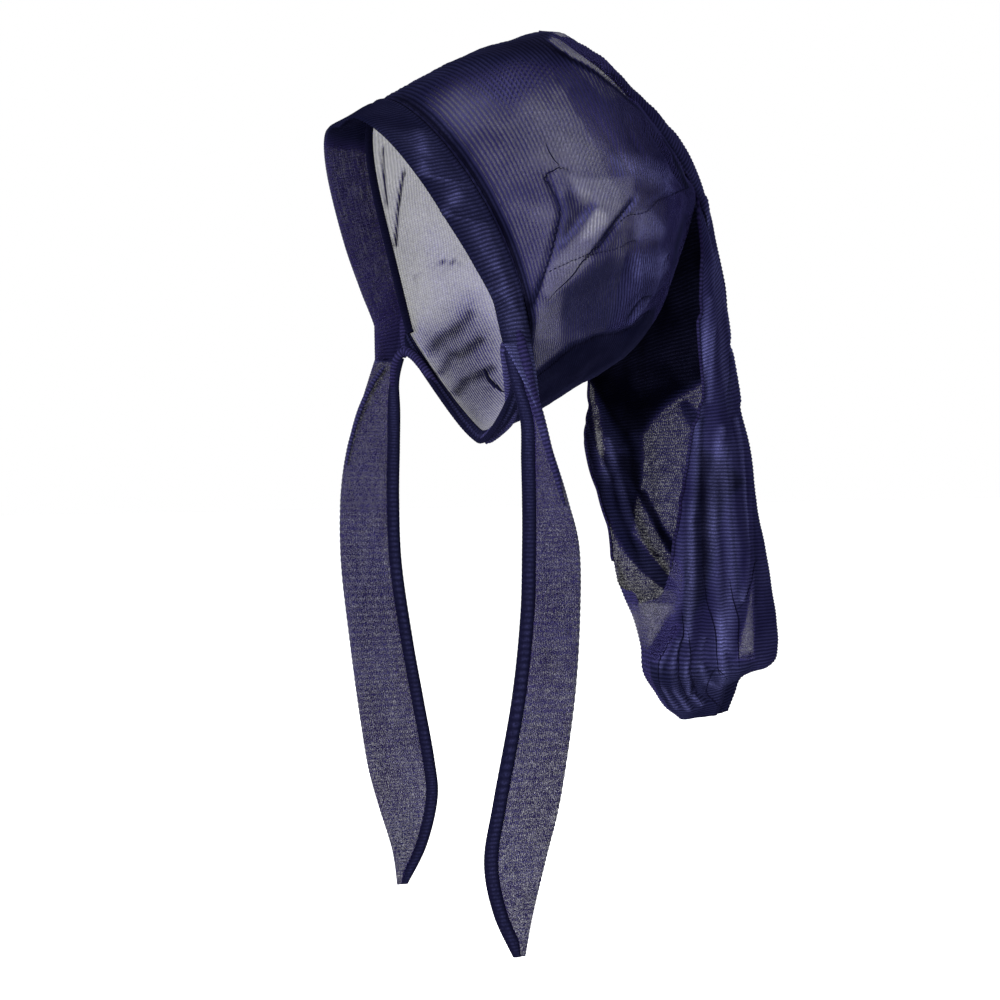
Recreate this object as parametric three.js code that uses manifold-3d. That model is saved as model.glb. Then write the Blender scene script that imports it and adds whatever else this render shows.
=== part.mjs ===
// Braid bonnet: a roomy knit crown on a folded brow band whose ends run on as two ties,
// with a bound nape edge and a long hanging pouch for braids behind.
// Millimetres, +Z up. The wearer faces -Y and the wearer's left is +X. Pieces are drawn with
// Z = 0 at the height where the ties leave the band, and the finished bonnet is then moved so
// that the origin is inside the top of the crown, where it sits on the head.

import * as THREE from 'three';
import { mergeVertices } from 'three/addons/utils/BufferGeometryUtils.js';
import Module from 'manifold-3d';

const wasm = await Module();
wasm.setup();

// Driving sizes
const crownWall = 1.2; // one layer of rib knit
const bandWall = 2.0; // two layers, folded at the front
const tieWall = 1.6; // two thin layers, pressed flat
const bindingWall = 2.6; // a doubled strip round the raw edge
const tailWall = 1.2;
const bindingWidth = 7;
const seamGap = 0.3; // clearance between neighbouring pieces
const jointGap = 0.8; // where the band's slanted end meets a tie
const bandStart = 0.6; // from the crown's first ring forward to the band's rear edge
const bindingStart = 0.8; // the same for the nape binding
const boundShare = 0.55; // a binding takes at most this share of its tie's width
const flareCurve = 1.5; // above 1, the band turns outwards mostly near its fold
const weldDistance = 1e-5;
const seat = new THREE.Vector3(0, 57, 177); // inside the top of the crown
const crownMiddle = new THREE.Vector3(0, 40, 60); // outwards is away from these
const openingMiddle = new THREE.Vector3(0, 0, 40);

// Crown: closed rings from the opening to the back. Each ring stands on a lowest point, reaches
// up to a top point and is widest at a share of its height. upper and lower are the
// superellipse exponents of its two halves: 2 is an ellipse and 1 is a straight-sided V. left
// stands in for lower on the wearer's left. bow is how far its sides lie behind the plane of
// its top and lowest points.
const crownRings = [
  { topY: -40, topZ: 132, lowY: 22, lowZ: -42, half: 76, widest: 0.33, upper: 1.9, lower: 1.22, left: 1.9, bow: 9 },
  { topY: -15, topZ: 148, lowY: 33, lowZ: -40, half: 80, widest: 0.38, upper: 1.95, lower: 1.4, left: 1.7, bow: 7 },
  { topY: 10, topZ: 162, lowY: 47, lowZ: -33, half: 83, widest: 0.42, upper: 2, lower: 1.6, left: 1.7, bow: 4 },
  { topY: 35, topZ: 172, lowY: 62, lowZ: -25, half: 84, widest: 0.45, upper: 2, lower: 1.7, left: 1.75, bow: 2 },
  { topY: 57, topZ: 178, lowY: 76, lowZ: -17, half: 82, widest: 0.47, upper: 2, lower: 1.8, left: 1.8, bow: 0 },
  { topY: 78, topZ: 162, lowY: 88, lowZ: -11, half: 77, widest: 0.48, upper: 2.1, lower: 1.9, left: 1.9, bow: 0 },
  { topY: 97, topZ: 147, lowY: 99, lowZ: -3, half: 67, widest: 0.5, upper: 2.2, lower: 2, left: 2, bow: 0 },
  { topY: 113, topZ: 132, lowY: 110, lowZ: 6, half: 54, widest: 0.52, upper: 2.2, lower: 2, left: 2, bow: 0 },
  { topY: 127, topZ: 118, lowY: 119, lowZ: 17, half: 42, widest: 0.58, upper: 2.1, lower: 2, left: 2, bow: 0 },
  { topY: 139, topZ: 105, lowY: 128, lowZ: 42, half: 34, widest: 0.62, upper: 2, lower: 2, left: 2, bow: 0 },
  { topY: 148, topZ: 94, lowY: 138, lowZ: 66, half: 20, widest: 0.6, upper: 2, lower: 2, left: 2, bow: 0 },
];
// The crown's main folds, each a soft ridge or, where depth is negative, a dent along a line.
const crownFolds = [
  { fromX: 38, fromY: 132, fromZ: 94, toX: 84, toY: 22, toZ: 28, width: 9, depth: 3 },
  { fromX: 60, fromY: 86, fromZ: 60, toX: 78, toY: 30, toZ: 4, width: 14, depth: -5 },
  { fromX: 34, fromY: 92, fromZ: 128, toX: 40, toY: 120, toZ: 103, width: 7, depth: 3 },
  { fromX: 52, fromY: 101, fromZ: 69, toX: 50, toY: 97, toZ: 24, width: 10, depth: -3 },
  { fromX: 84, fromY: 29, fromZ: 82, toX: 82, toY: 15, toZ: 8, width: 7, depth: 2 },
  { fromX: -45, fromY: 120, fromZ: 80, toX: -84, toY: 30, toZ: 20, width: 10, depth: 3 },
  { fromX: -84, fromY: 35, fromZ: 70, toX: -62, toY: 95, toZ: 30, width: 13, depth: -4 },
];
const crownTip = new THREE.Vector3(0, 151, 80);
const crownSteps = 26;
const crownSides = 40;

// Brow band, from the side joint up to the middle of the forehead: the angle is the place on
// the crown's first ring, width runs forward from the rear seam to the fold, and flare moves
// the fold away from the middle of the opening.
const bandRows = [
  { angle: 5, width: 20, flare: 5 },
  { angle: 14, width: 23, flare: 4 },
  { angle: 26, width: 26, flare: 3 },
  { angle: 40, width: 27, flare: 3 },
  { angle: 56, width: 27.5, flare: 3 },
  { angle: 73, width: 28, flare: 0 },
  { angle: 90, width: 28, flare: -7 },
];
const bandSteps = 44;
const bandAcross = 3;
const bandJoinShares = [0, 0.35, 0.7]; // of the way from a tie's top to the band's own end

// Nape binding, from the side joint down to the middle of the nape: the direction in which it
// runs on from the crown's first ring to its free edge.
const napeRows = [
  { angle: -3, forward: 4, down: 5, inward: 3 },
  { angle: -30, forward: 6, down: 0, inward: 1 },
  { angle: -60, forward: 5, down: 1, inward: 0 },
  { angle: -90, forward: 3.5, down: 6, inward: 0 },
];
const napeSteps = 36;

// Ties: each row is a cross-section at a height z, through the bound edge, the middle and the
// folded edge. The top rows curl like the band that they run on from. The left tie has turned
// over below the joint, so that its bound edge is in front.
const leftTieRows = [
  { z: 1, boundX: 66, boundY: 1, midX: 82, midY: 8, foldX: 83, foldY: -7 },
  { z: -17, boundX: 71, boundY: 3, midX: 83, midY: 11, foldX: 88, foldY: 1 },
  { z: -37, boundX: 74, boundY: 7, midX: 81, midY: 14, foldX: 88, foldY: 12 },
  { z: -57, boundX: 77, boundY: 6, midX: 80, midY: 14, foldX: 86, foldY: 21 },
  { z: -77, boundX: 78, boundY: 6, midX: 80, midY: 17, foldX: 84, foldY: 29 },
  { z: -101, boundX: 78, boundY: 6, midX: 80, midY: 21, foldX: 83, foldY: 36 },
  { z: -135, boundX: 78, boundY: 5, midX: 80, midY: 21, foldX: 82, foldY: 37 },
  { z: -177, boundX: 78, boundY: 0, midX: 80, midY: 16, foldX: 82, foldY: 34 },
  { z: -226, boundX: 78, boundY: -10, midX: 80, midY: 7, foldX: 82, foldY: 26 },
  { z: -255, boundX: 78, boundY: -15, midX: 80, midY: 1, foldX: 82, foldY: 18 },
  { z: -281, boundX: 78, boundY: -10, midX: 79, midY: 0, foldX: 80, foldY: 12 },
  { z: -304, boundX: 78, boundY: 1, midX: 78, midY: 4, foldX: 78, foldY: 8 },
];
const rightTieRows = [
  { z: 1, boundX: -66, boundY: 1, midX: -82, midY: 6, foldX: -83, foldY: -9 },
  { z: -12, boundX: -70, boundY: 1, midX: -80, midY: -3, foldX: -84, foldY: -13 },
  { z: -30, boundX: -73, boundY: 3, midX: -79, midY: -7, foldX: -84, foldY: -19 },
  { z: -51, boundX: -76, boundY: 4, midX: -79, midY: -11, foldX: -84, foldY: -26 },
  { z: -80, boundX: -77, boundY: 4, midX: -80, midY: -13, foldX: -84, foldY: -30 },
  { z: -118, boundX: -78, boundY: 6, midX: -80, midY: -12, foldX: -83, foldY: -30 },
  { z: -163, boundX: -78, boundY: 13, midX: -80, midY: -6, foldX: -82, foldY: -25 },
  { z: -199, boundX: -78, boundY: 20, midX: -80, midY: 0, foldX: -82, foldY: -20 },
  { z: -235, boundX: -78, boundY: 27, midX: -80, midY: 7, foldX: -82, foldY: -14 },
  { z: -258, boundX: -78, boundY: 29, midX: -80, midY: 10, foldX: -81, foldY: -8 },
  { z: -285, boundX: -78, boundY: 22, midX: -79, midY: 10, foldX: -79, foldY: 0 },
  { z: -306, boundX: -78, boundY: 10, midX: -78, midY: 6, foldX: -78, foldY: 3 },
];
const tieSteps = 30;
const tieAcross = 4;

// Braid pouch: closed rings from the crown's top to the gathered bottom, each from a ridge
// point behind to a front point, with its half width. The mouth is cut out afterwards.
const tailRings = [
  { ridgeY: 55, ridgeZ: 180, frontY: 52, frontZ: 168, half: 5 },
  { ridgeY: 73, ridgeZ: 177, frontY: 62, frontZ: 150, half: 17 },
  { ridgeY: 91, ridgeZ: 169, frontY: 74, frontZ: 130, half: 25 },
  { ridgeY: 107, ridgeZ: 155, frontY: 84, frontZ: 108, half: 31 },
  { ridgeY: 127, ridgeZ: 138, frontY: 92, frontZ: 86, half: 35 },
  { ridgeY: 145, ridgeZ: 117, frontY: 98, frontZ: 60, half: 38 },
  { ridgeY: 157, ridgeZ: 92, frontY: 101, frontZ: 34, half: 40 },
  { ridgeY: 165, ridgeZ: 55, frontY: 102, frontZ: 8, half: 42 },
  { ridgeY: 171, ridgeZ: 10, frontY: 101, frontZ: -16, half: 43 },
  { ridgeY: 178, ridgeZ: -25, frontY: 96, frontZ: -36, half: 44 },
  { ridgeY: 187, ridgeZ: -52, frontY: 94, frontZ: -54, half: 44 },
  { ridgeY: 190, ridgeZ: -80, frontY: 96, frontZ: -76, half: 43 },
  { ridgeY: 197, ridgeZ: -105, frontY: 104, frontZ: -104, half: 39 },
  { ridgeY: 203, ridgeZ: -130, frontY: 115, frontZ: -128, half: 34 },
  { ridgeY: 209, ridgeZ: -152, frontY: 124, frontZ: -150, half: 27 },
  { ridgeY: 211, ridgeZ: -167, frontY: 128, frontZ: -166, half: 23 },
  { ridgeY: 208, ridgeZ: -178, frontY: 129, frontZ: -182, half: 21 },
  { ridgeY: 187, ridgeZ: -184, frontY: 136, frontZ: -194, half: 17 },
  { ridgeY: 182, ridgeZ: -195, frontY: 142, frontZ: -203, half: 13 },
  { ridgeY: 178, ridgeZ: -205, frontY: 149, frontZ: -208, half: 7 },
];
const tailSteps = 34;
const tailSides = 32;
const tailPleatStart = 12; // the pleats grow to their full height over these steps
const frontSquareness = 0.6; // 1 is an ellipse, and less makes the front of a ring squarer

// Lengthwise pleats of the pouch: the place round a ring in degrees from the ridge, towards the
// wearer's left, with the width in degrees and the height.
const tailPleats = [
  { at: 22, width: 9, height: 2.5 },
  { at: 55, width: 10, height: -2.5 },
  { at: 82, width: 9, height: 2 },
  { at: -30, width: 10, height: -2 },
  { at: -62, width: 11, height: 2.5 },
];

// The mouth of the pouch, in side view: its front edge on the wearer's left and right walls.
const mouthLeftEdge = [
  { y: 96, z: 120 }, { y: 128, z: 104 }, { y: 136, z: 70 }, { y: 134, z: 37 }, { y: 135, z: -9 },
  { y: 133, z: -24 }, { y: 127, z: -45 }, { y: 122, z: -76 }, { y: 121, z: -105 },
  { y: 122, z: -135 }, { y: 100, z: -146 },
];
const mouthRightEdge = [
  { y: 96, z: 120 }, { y: 128, z: 104 }, { y: 136, z: 70 }, { y: 128, z: 30 }, { y: 110, z: 0 },
  { y: 104, z: -16 }, { y: 112, z: -26 }, { y: 106, z: -38 }, { y: 105, z: -46 }, { y: 108, z: -56 },
  { y: 115, z: -74 }, { y: 122, z: -100 }, { y: 122, z: -128 }, { y: 100, z: -146 },
];

// Colours of the finished cloth
const navyKnit = 0x1b1b52;
const navyDouble = 0x17174a;
const navyBinding = 0x0c0c2c;

const degrees = Math.PI / 180;

/** A row between the rows of a table, every column on a Catmull-Rom curve. */
function rowAt(table, place) {
  const last = table.length - 1;
  const at = Math.min(Math.max(place, 0), last);
  const index = Math.min(Math.floor(at), last - 1);
  const t = at - index;
  const before = table[Math.max(index - 1, 0)];
  const from = table[index];
  const to = table[index + 1];
  const after = table[Math.min(index + 2, last)];
  const row = {};
  for (const column of Object.keys(from)) {
    const [a, b, c, d] = [before[column], from[column], to[column], after[column]];
    const slopeIn = (c - a) / 2;
    const slopeOut = (d - b) / 2;
    const t2 = t * t;
    const t3 = t2 * t;
    row[column] = b * (2 * t3 - 3 * t2 + 1) + slopeIn * (t3 - 2 * t2 + t)
      + c * (3 * t2 - 2 * t3) + slopeOut * (t3 - t2);
  }
  return row;
}

/** A row of a table whose first column rises or falls, at a value of that column. */
function rowWhere(table, column, value) {
  const sign = Math.sign(table[table.length - 1][column] - table[0][column]);
  let index = 0;
  while (index < table.length - 2 && sign * table[index + 1][column] < sign * value) index += 1;
  const from = table[index][column];
  const to = table[index + 1][column];
  return rowAt(table, index + (value - from) / (to - from));
}

/** Builds a geometry from points and triangles, with its faces turned outwards. */
function bodyGeometry(points, triangles) {
  let volume = 0;
  for (const [a, b, c] of triangles) {
    volume += points[a].dot(points[b].clone().cross(points[c]));
  }
  const turned = volume < 0 ? triangles.map(([a, b, c]) => [a, c, b]) : triangles;
  const geometry = new THREE.BufferGeometry();
  const positions = points.flatMap((point) => point.toArray());
  geometry.setAttribute('position', new THREE.Float32BufferAttribute(positions, 3));
  geometry.setIndex(turned.flat());
  geometry.computeVertexNormals();
  return geometry;
}

/** A closed solid through closed rings of points, capped at both ends by a fan. */
function ringSolid(rings) {
  const sides = rings[0].length;
  const points = rings.flat();
  const triangles = [];
  for (let i = 0; i < rings.length - 1; i += 1) {
    for (let j = 0; j < sides; j += 1) {
      const next = (j + 1) % sides;
      const [a, b] = [i * sides + j, i * sides + next];
      triangles.push([a, a + sides, b + sides], [a, b + sides, b]);
    }
  }
  for (const [ring, end] of [[0, false], [rings.length - 1, true]]) {
    const middle = new THREE.Vector3();
    rings[ring].forEach((point) => middle.addScaledVector(point, 1 / sides));
    points.push(middle);
    for (let j = 0; j < sides; j += 1) {
      const [a, b] = [ring * sides + j, ring * sides + (j + 1) % sides];
      triangles.push(end ? [a, points.length - 1, b] : [a, b, points.length - 1]);
    }
  }
  return bodyGeometry(points, triangles);
}

/** Unit normals of a grid of points. round closes each row on itself. */
function gridNormals(grid, round) {
  const rows = grid.length;
  const sides = grid[0].length;
  return grid.map((row, i) => row.map((point, j) => {
    const along = grid[Math.min(i + 1, rows - 1)][j].clone().sub(grid[Math.max(i - 1, 0)][j]);
    const after = round ? (j + 1) % sides : Math.min(j + 1, sides - 1);
    const before = round ? (j + sides - 1) % sides : Math.max(j - 1, 0);
    return row[after].clone().sub(row[before]).cross(along).normalize();
  }));
}

/** A sheet of cloth with thickness: the grid of points is its middle. */
function sheetGeometry(grid, wall) {
  const normals = gridNormals(grid, false);
  const rows = grid.length;
  const sides = grid[0].length;
  const face = (side) => grid.flatMap((row, i) => row.map((point, j) => (
    point.clone().addScaledVector(normals[i][j], side * wall / 2))));
  const points = [...face(1), ...face(-1)];
  const under = rows * sides;
  const triangles = [];
  for (let i = 0; i < rows - 1; i += 1) {
    for (let j = 0; j < sides - 1; j += 1) {
      const [a, b, c, d] = [i * sides + j, i * sides + j + 1, (i + 1) * sides + j + 1,
        (i + 1) * sides + j];
      triangles.push([a, b, c], [a, c, d]);
      triangles.push([under + a, under + c, under + b], [under + a, under + d, under + c]);
    }
  }
  const border = [];
  for (let j = 0; j < sides; j += 1) border.push(j);
  for (let i = 1; i < rows; i += 1) border.push(i * sides + sides - 1);
  for (let j = sides - 2; j >= 0; j -= 1) border.push((rows - 1) * sides + j);
  for (let i = rows - 2; i > 0; i -= 1) border.push(i * sides);
  border.forEach((a, index) => {
    const b = border[(index + 1) % border.length];
    triangles.push([b, a, under + a], [b, under + a, under + b]);
  });
  return bodyGeometry(points, triangles);
}

/** A point of a crown ring. 90 degrees is its top, 0 its side and -90 its lowest point. */
function ringPoint(ring, angle, grow = 0) {
  const height = Math.hypot(ring.topY - ring.lowY, ring.topZ - ring.lowZ);
  const up = { y: (ring.topY - ring.lowY) / height, z: (ring.topZ - ring.lowZ) / height };
  const sine = Math.sin(angle * degrees);
  const cosine = Math.cos(angle * degrees);
  const below = cosine > 0 ? ring.left : ring.lower;
  const power = 2 / (sine >= 0 ? ring.upper : below);
  const reach = sine >= 0 ? (1 - ring.widest) * height : ring.widest * height;
  const x = (ring.half + grow) * Math.sign(cosine) * Math.abs(cosine) ** power;
  const q = ring.widest * height + (reach + grow) * Math.sign(sine) * Math.abs(sine) ** power;
  const behind = ring.bow * Math.sin((Math.PI * q) / height);
  return new THREE.Vector3(x, ring.lowY + up.y * q + up.z * behind,
    ring.lowZ + up.z * q - up.y * behind);
}

/** How far the crown's folds lift a point of its surface. */
function foldLift(point) {
  let lift = 0;
  for (const fold of crownFolds) {
    const line = new THREE.Line3(new THREE.Vector3(fold.fromX, fold.fromY, fold.fromZ),
      new THREE.Vector3(fold.toX, fold.toY, fold.toZ));
    const away = line.closestPointToPoint(point, true, new THREE.Vector3()).distanceTo(point);
    lift += fold.depth * Math.exp(-((away / fold.width) ** 2));
  }
  return lift;
}

/** The crown's rings as points, with its back drawn in to the tip. */
function crownGrid() {
  const grid = [];
  for (let i = 0; i <= crownSteps; i += 1) {
    const ring = rowAt(crownRings, (i / crownSteps) * (crownRings.length - 1));
    const points = [];
    for (let j = 0; j < crownSides; j += 1) {
      points.push(ringPoint(ring, -90 + (360 * j) / crownSides));
    }
    grid.push(points);
  }
  return grid;
}

/** The crown's surface moved out by a distance, or in where it is negative, with its tip. */
function crownFace(distance) {
  const grid = crownGrid();
  const normals = gridNormals(grid, true);
  const outwards = normals[4][0].dot(grid[4][0].clone().sub(crownMiddle)) > 0 ? 1 : -1;
  const rings = grid.map((row, i) => row.map((point, j) => (
    point.clone().addScaledVector(normals[i][j], outwards * (distance + foldLift(point))))));
  return { rings, tip: crownTip.clone().add(new THREE.Vector3(0, distance, 0)) };
}

/** The crown: one layer of cloth, open at the first ring and closed at the back. */
function crownGeometry() {
  const outer = crownFace(0);
  const inner = crownFace(-crownWall);
  const rows = outer.rings.length;
  const sides = crownSides;
  const points = [...outer.rings.flat(), ...inner.rings.flat(), outer.tip, inner.tip];
  const under = rows * sides;
  const triangles = [];
  for (let i = 0; i < rows - 1; i += 1) {
    for (let j = 0; j < sides; j += 1) {
      const [a, b] = [i * sides + j, i * sides + (j + 1) % sides];
      const [c, d] = [b + sides, a + sides];
      triangles.push([a, b, c], [a, c, d]);
      triangles.push([under + a, under + c, under + b], [under + a, under + d, under + c]);
    }
  }
  for (let j = 0; j < sides; j += 1) {
    const next = (j + 1) % sides;
    const [a, b] = [(rows - 1) * sides + j, (rows - 1) * sides + next];
    triangles.push([a, b, points.length - 2], [under + b, under + a, points.length - 1]);
    triangles.push([next, j, under + j], [next, under + j, under + next]);
  }
  return bodyGeometry(points, triangles);
}

/** A solid that fills the crown's outside plus the seam gap, to trim what meets it. */
function crownEnvelope() {
  const { rings, tip } = crownFace(seamGap);
  return ringSolid([...rings, rings[0].map(() => tip.clone())]);
}

/** Direction from the crown's first ring towards the face, square to that ring. */
function openingNormal() {
  const ring = crownRings[0];
  const height = Math.hypot(ring.topY - ring.lowY, ring.topZ - ring.lowZ);
  return new THREE.Vector3(0, -(ring.topZ - ring.lowZ) / height, (ring.topY - ring.lowY) / height);
}

/** The band's last cross-section: the outer half of a tie's first one, just above it. */
function bandEnd(rows) {
  const curve = tieSection(rows[0]);
  const points = [];
  for (let j = 0; j <= bandAcross; j += 1) {
    const point = curve.getPointAt(0.5 + (0.5 * j) / bandAcross);
    points.push(point.add(new THREE.Vector3(0, 0, jointGap)));
  }
  return points;
}

/** Cross-sections that lead from a tie's top into the band, without the band's own one. */
function bandRun(end, start) {
  return bandJoinShares.map((share) => end.map((point, j) => point.clone().lerp(start[j], share)));
}

/** The brow band: from the crown's first ring forward to the fold, over the top and sides. */
function bandGeometry() {
  const forward = openingNormal();
  const grid = [];
  for (let i = 0; i <= bandSteps; i += 1) {
    const share = i / bandSteps;
    const turn = 2 * share - 1;
    const angle = 90 - (90 - bandRows[0].angle) * Math.abs(turn);
    const row = rowWhere(bandRows, 'angle', angle);
    const seam = ringPoint(crownRings[0], angle, -crownWall / 2);
    seam.x *= turn < 0 ? 1 : -1;
    const outwards = seam.clone().sub(openingMiddle);
    outwards.addScaledVector(forward, -outwards.dot(forward)).normalize();
    const points = [];
    for (let j = 0; j <= bandAcross; j += 1) {
      const across = j / bandAcross;
      const reach = bandStart + (row.width - seamGap) * across;
      points.push(seam.clone().addScaledVector(forward, reach)
        .addScaledVector(outwards, row.flare * across ** flareCurve));
    }
    grid.push(points);
  }
  const left = bandRun(bandEnd(leftTieRows), grid[0]);
  const right = bandRun(bandEnd(rightTieRows), grid[bandSteps]);
  return sheetGeometry([...left, ...grid, ...right.reverse()], bandWall);
}

/** The binding along the nape, from one joint round the V to the other. */
function napeBindingGeometry() {
  const grid = [];
  const first = napeRows[0].angle;
  for (let i = 0; i <= napeSteps; i += 1) {
    const turn = (2 * i) / napeSteps - 1;
    const angle = -90 + (first + 90) * Math.abs(turn);
    const row = rowWhere(napeRows, 'angle', angle);
    const edge = ringPoint(crownRings[0], turn < 0 ? angle : -180 - angle, -crownWall / 2);
    const inwards = -row.inward * Math.sign(edge.x);
    const across = new THREE.Vector3(inwards, -row.forward, -row.down).normalize();
    const start = edge.clone().addScaledVector(across, bindingStart);
    const middle = start.clone().addScaledVector(across, bindingWidth / 2);
    const end = start.clone().addScaledVector(across, bindingWidth);
    grid.push([start, middle, end]);
  }
  return sheetGeometry(grid, bindingWall);
}

/** A cross-section of a tie as a curve from the bound edge to the fold. */
function tieSection(row) {
  return new THREE.CatmullRomCurve3([
    new THREE.Vector3(row.boundX, row.boundY, row.z),
    new THREE.Vector3(row.midX, row.midY, row.z),
    new THREE.Vector3(row.foldX, row.foldY, row.z),
  ]);
}

/** The tie's cloth, or its binding, as the stretch of each cross-section that it covers. */
function tieGeometry(rows, binding) {
  const grid = [];
  const across = binding ? 2 : tieAcross;
  for (let i = 0; i <= tieSteps; i += 1) {
    const curve = tieSection(rowAt(rows, (i / tieSteps) * (rows.length - 1)));
    const length = curve.getLength();
    const bound = Math.min(bindingWidth, boundShare * length);
    const from = binding ? 0 : bound + seamGap;
    const to = binding ? bound : length;
    const points = [];
    for (let j = 0; j <= across; j += 1) {
      const share = (from + ((to - from) * j) / across) / length;
      points.push(curve.getPointAt(Math.min(share, 1)));
    }
    grid.push(points);
  }
  return sheetGeometry(grid, binding ? bindingWall : tieWall);
}

/** A manifold solid from a closed geometry. */
function solid(geometry) {
  const bare = geometry.clone();
  bare.deleteAttribute('normal');
  const merged = mergeVertices(bare, weldDistance);
  const triangles = [];
  const index = merged.index.array;
  for (let i = 0; i < index.length; i += 3) {
    const [a, b, c] = [index[i], index[i + 1], index[i + 2]];
    if (a !== b && b !== c && c !== a) triangles.push(a, b, c);
  }
  return new wasm.Manifold(new wasm.Mesh({
    numProp: 3,
    vertProperties: new Float32Array(merged.attributes.position.array),
    triVerts: new Uint32Array(triangles),
  }));
}

/** A geometry from a manifold solid. */
function geometryOf(manifold) {
  const mesh = manifold.getMesh();
  const geometry = new THREE.BufferGeometry();
  geometry.setAttribute('position', new THREE.Float32BufferAttribute(mesh.vertProperties, 3));
  geometry.setIndex(Array.from(mesh.triVerts));
  geometry.computeVertexNormals();
  return geometry;
}

/** How far the pouch's pleats stand out at an angle from the ridge. */
function pleatHeight(angle) {
  const wrapped = angle > 180 ? angle - 360 : angle;
  return tailPleats.reduce((sum, { at, width, height }) => (
    sum + height * Math.exp(-(((wrapped - at) / width) ** 2))), 0);
}

/** The pouch's rings, drawn in by a distance for its inside. */
function tailSolid(inset) {
  const rings = [];
  for (let i = 0; i <= tailSteps; i += 1) {
    const ring = rowAt(tailRings, (i / tailSteps) * (tailRings.length - 1));
    const ridge = new THREE.Vector3(0, ring.ridgeY, ring.ridgeZ);
    const front = new THREE.Vector3(0, ring.frontY, ring.frontZ);
    const middle = ridge.clone().add(front).multiplyScalar(0.5);
    const back = ridge.clone().sub(middle);
    const depth = back.length() - inset;
    back.normalize();
    const points = [];
    for (let j = 0; j < tailSides; j += 1) {
      const turn = (2 * Math.PI * j) / tailSides;
      const [cosine, sine] = [Math.cos(turn), Math.sin(turn)];
      const power = cosine > 0 ? 1 : frontSquareness;
      const pleat = pleatHeight(turn / degrees) * Math.min(1, i / tailPleatStart);
      const reach = (depth + pleat) * Math.sign(cosine) * Math.abs(cosine) ** power;
      const side = (ring.half - inset + pleat) * Math.sign(sine) * Math.abs(sine) ** power;
      points.push(middle.clone().addScaledVector(back, reach).add(new THREE.Vector3(side, 0, 0)));
    }
    rings.push(points);
  }
  const lift = new THREE.Vector3(0, 0, inset);
  rings[rings.length - 1].forEach((point) => point.add(lift));
  return solid(ringSolid(rings));
}

/** Everything in front of one wall's mouth edge, on one side of the middle. */
function mouthCut(edge, side) {
  const frontLimit = 40;
  const reach = 70;
  const outline = new THREE.Shape();
  outline.moveTo(frontLimit, edge[0].z);
  edge.forEach(({ y, z }) => outline.lineTo(y, z));
  outline.lineTo(frontLimit, edge[edge.length - 1].z);
  outline.closePath();
  const block = new THREE.ExtrudeGeometry(outline, { depth: reach, bevelEnabled: false });
  // The outline's x and y become Y and Z, and the depth becomes X.
  block.applyMatrix4(new THREE.Matrix4().makeBasis(
    new THREE.Vector3(0, 1, 0), new THREE.Vector3(0, 0, 1), new THREE.Vector3(1, 0, 0)));
  block.translate(side > 0 ? 0 : -reach, 0, 0);
  block.deleteAttribute('uv');
  return solid(block);
}

/** The braid pouch: a hanging trough, open in front, trimmed where it lies on the crown. */
function tailGeometry() {
  const cuts = [mouthCut(mouthLeftEdge, 1), mouthCut(mouthRightEdge, -1)];
  let pouch = tailSolid(0).subtract(tailSolid(tailWall));
  for (const cut of cuts) pouch = pouch.subtract(cut);
  pouch = pouch.subtract(solid(crownEnvelope()));
  const parts = pouch.decompose();
  parts.sort((a, b) => b.volume() - a.volume());
  return geometryOf(parts[0]);
}

const bonnet = new THREE.Group();
bonnet.name = 'bonnet';

/** Adds one piece of the bonnet as a named mesh. */
function addPiece(name, geometry, color, roughness) {
  const material = new THREE.MeshStandardMaterial({ color, roughness, metalness: 0 });
  const mesh = new THREE.Mesh(geometry, material);
  mesh.name = name;
  mesh.position.copy(seat).negate();
  bonnet.add(mesh);
}

addPiece('crown', crownGeometry(), navyKnit, 0.75);
addPiece('brow_band', bandGeometry(), navyDouble, 0.7);
addPiece('nape_binding', napeBindingGeometry(), navyBinding, 0.8);
addPiece('left_tie', tieGeometry(leftTieRows, false), navyDouble, 0.75);
addPiece('left_tie_binding', tieGeometry(leftTieRows, true), navyBinding, 0.8);
addPiece('right_tie', tieGeometry(rightTieRows, false), navyDouble, 0.75);
addPiece('right_tie_binding', tieGeometry(rightTieRows, true), navyBinding, 0.8);
addPiece('braid_tail', tailGeometry(), navyKnit, 0.7);

export default bonnet;
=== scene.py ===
import math

import bpy
import numpy as np
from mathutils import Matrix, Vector
from mathutils.bvhtree import BVHTree


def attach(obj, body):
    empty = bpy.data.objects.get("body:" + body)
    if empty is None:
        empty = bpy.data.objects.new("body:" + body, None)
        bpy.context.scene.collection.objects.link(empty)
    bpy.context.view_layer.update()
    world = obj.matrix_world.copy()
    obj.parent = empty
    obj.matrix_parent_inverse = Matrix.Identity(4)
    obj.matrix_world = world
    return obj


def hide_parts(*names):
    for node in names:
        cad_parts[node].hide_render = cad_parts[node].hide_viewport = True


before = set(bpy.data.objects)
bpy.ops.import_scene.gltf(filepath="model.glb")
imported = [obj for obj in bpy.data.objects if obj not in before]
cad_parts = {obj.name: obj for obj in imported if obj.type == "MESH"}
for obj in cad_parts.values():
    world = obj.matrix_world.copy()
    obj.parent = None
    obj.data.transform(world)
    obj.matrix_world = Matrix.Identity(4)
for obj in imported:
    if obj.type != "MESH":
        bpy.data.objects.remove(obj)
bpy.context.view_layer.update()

# Everything is drawn in millimetres around the height where the ties leave the band,
# and moved to the frame's origin, inside the top of the crown, when its mesh is made.
# The left side is +x, which is also the near side, and the front is -y.
seat = np.array([0.0, 57.0, 177.0])

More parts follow.
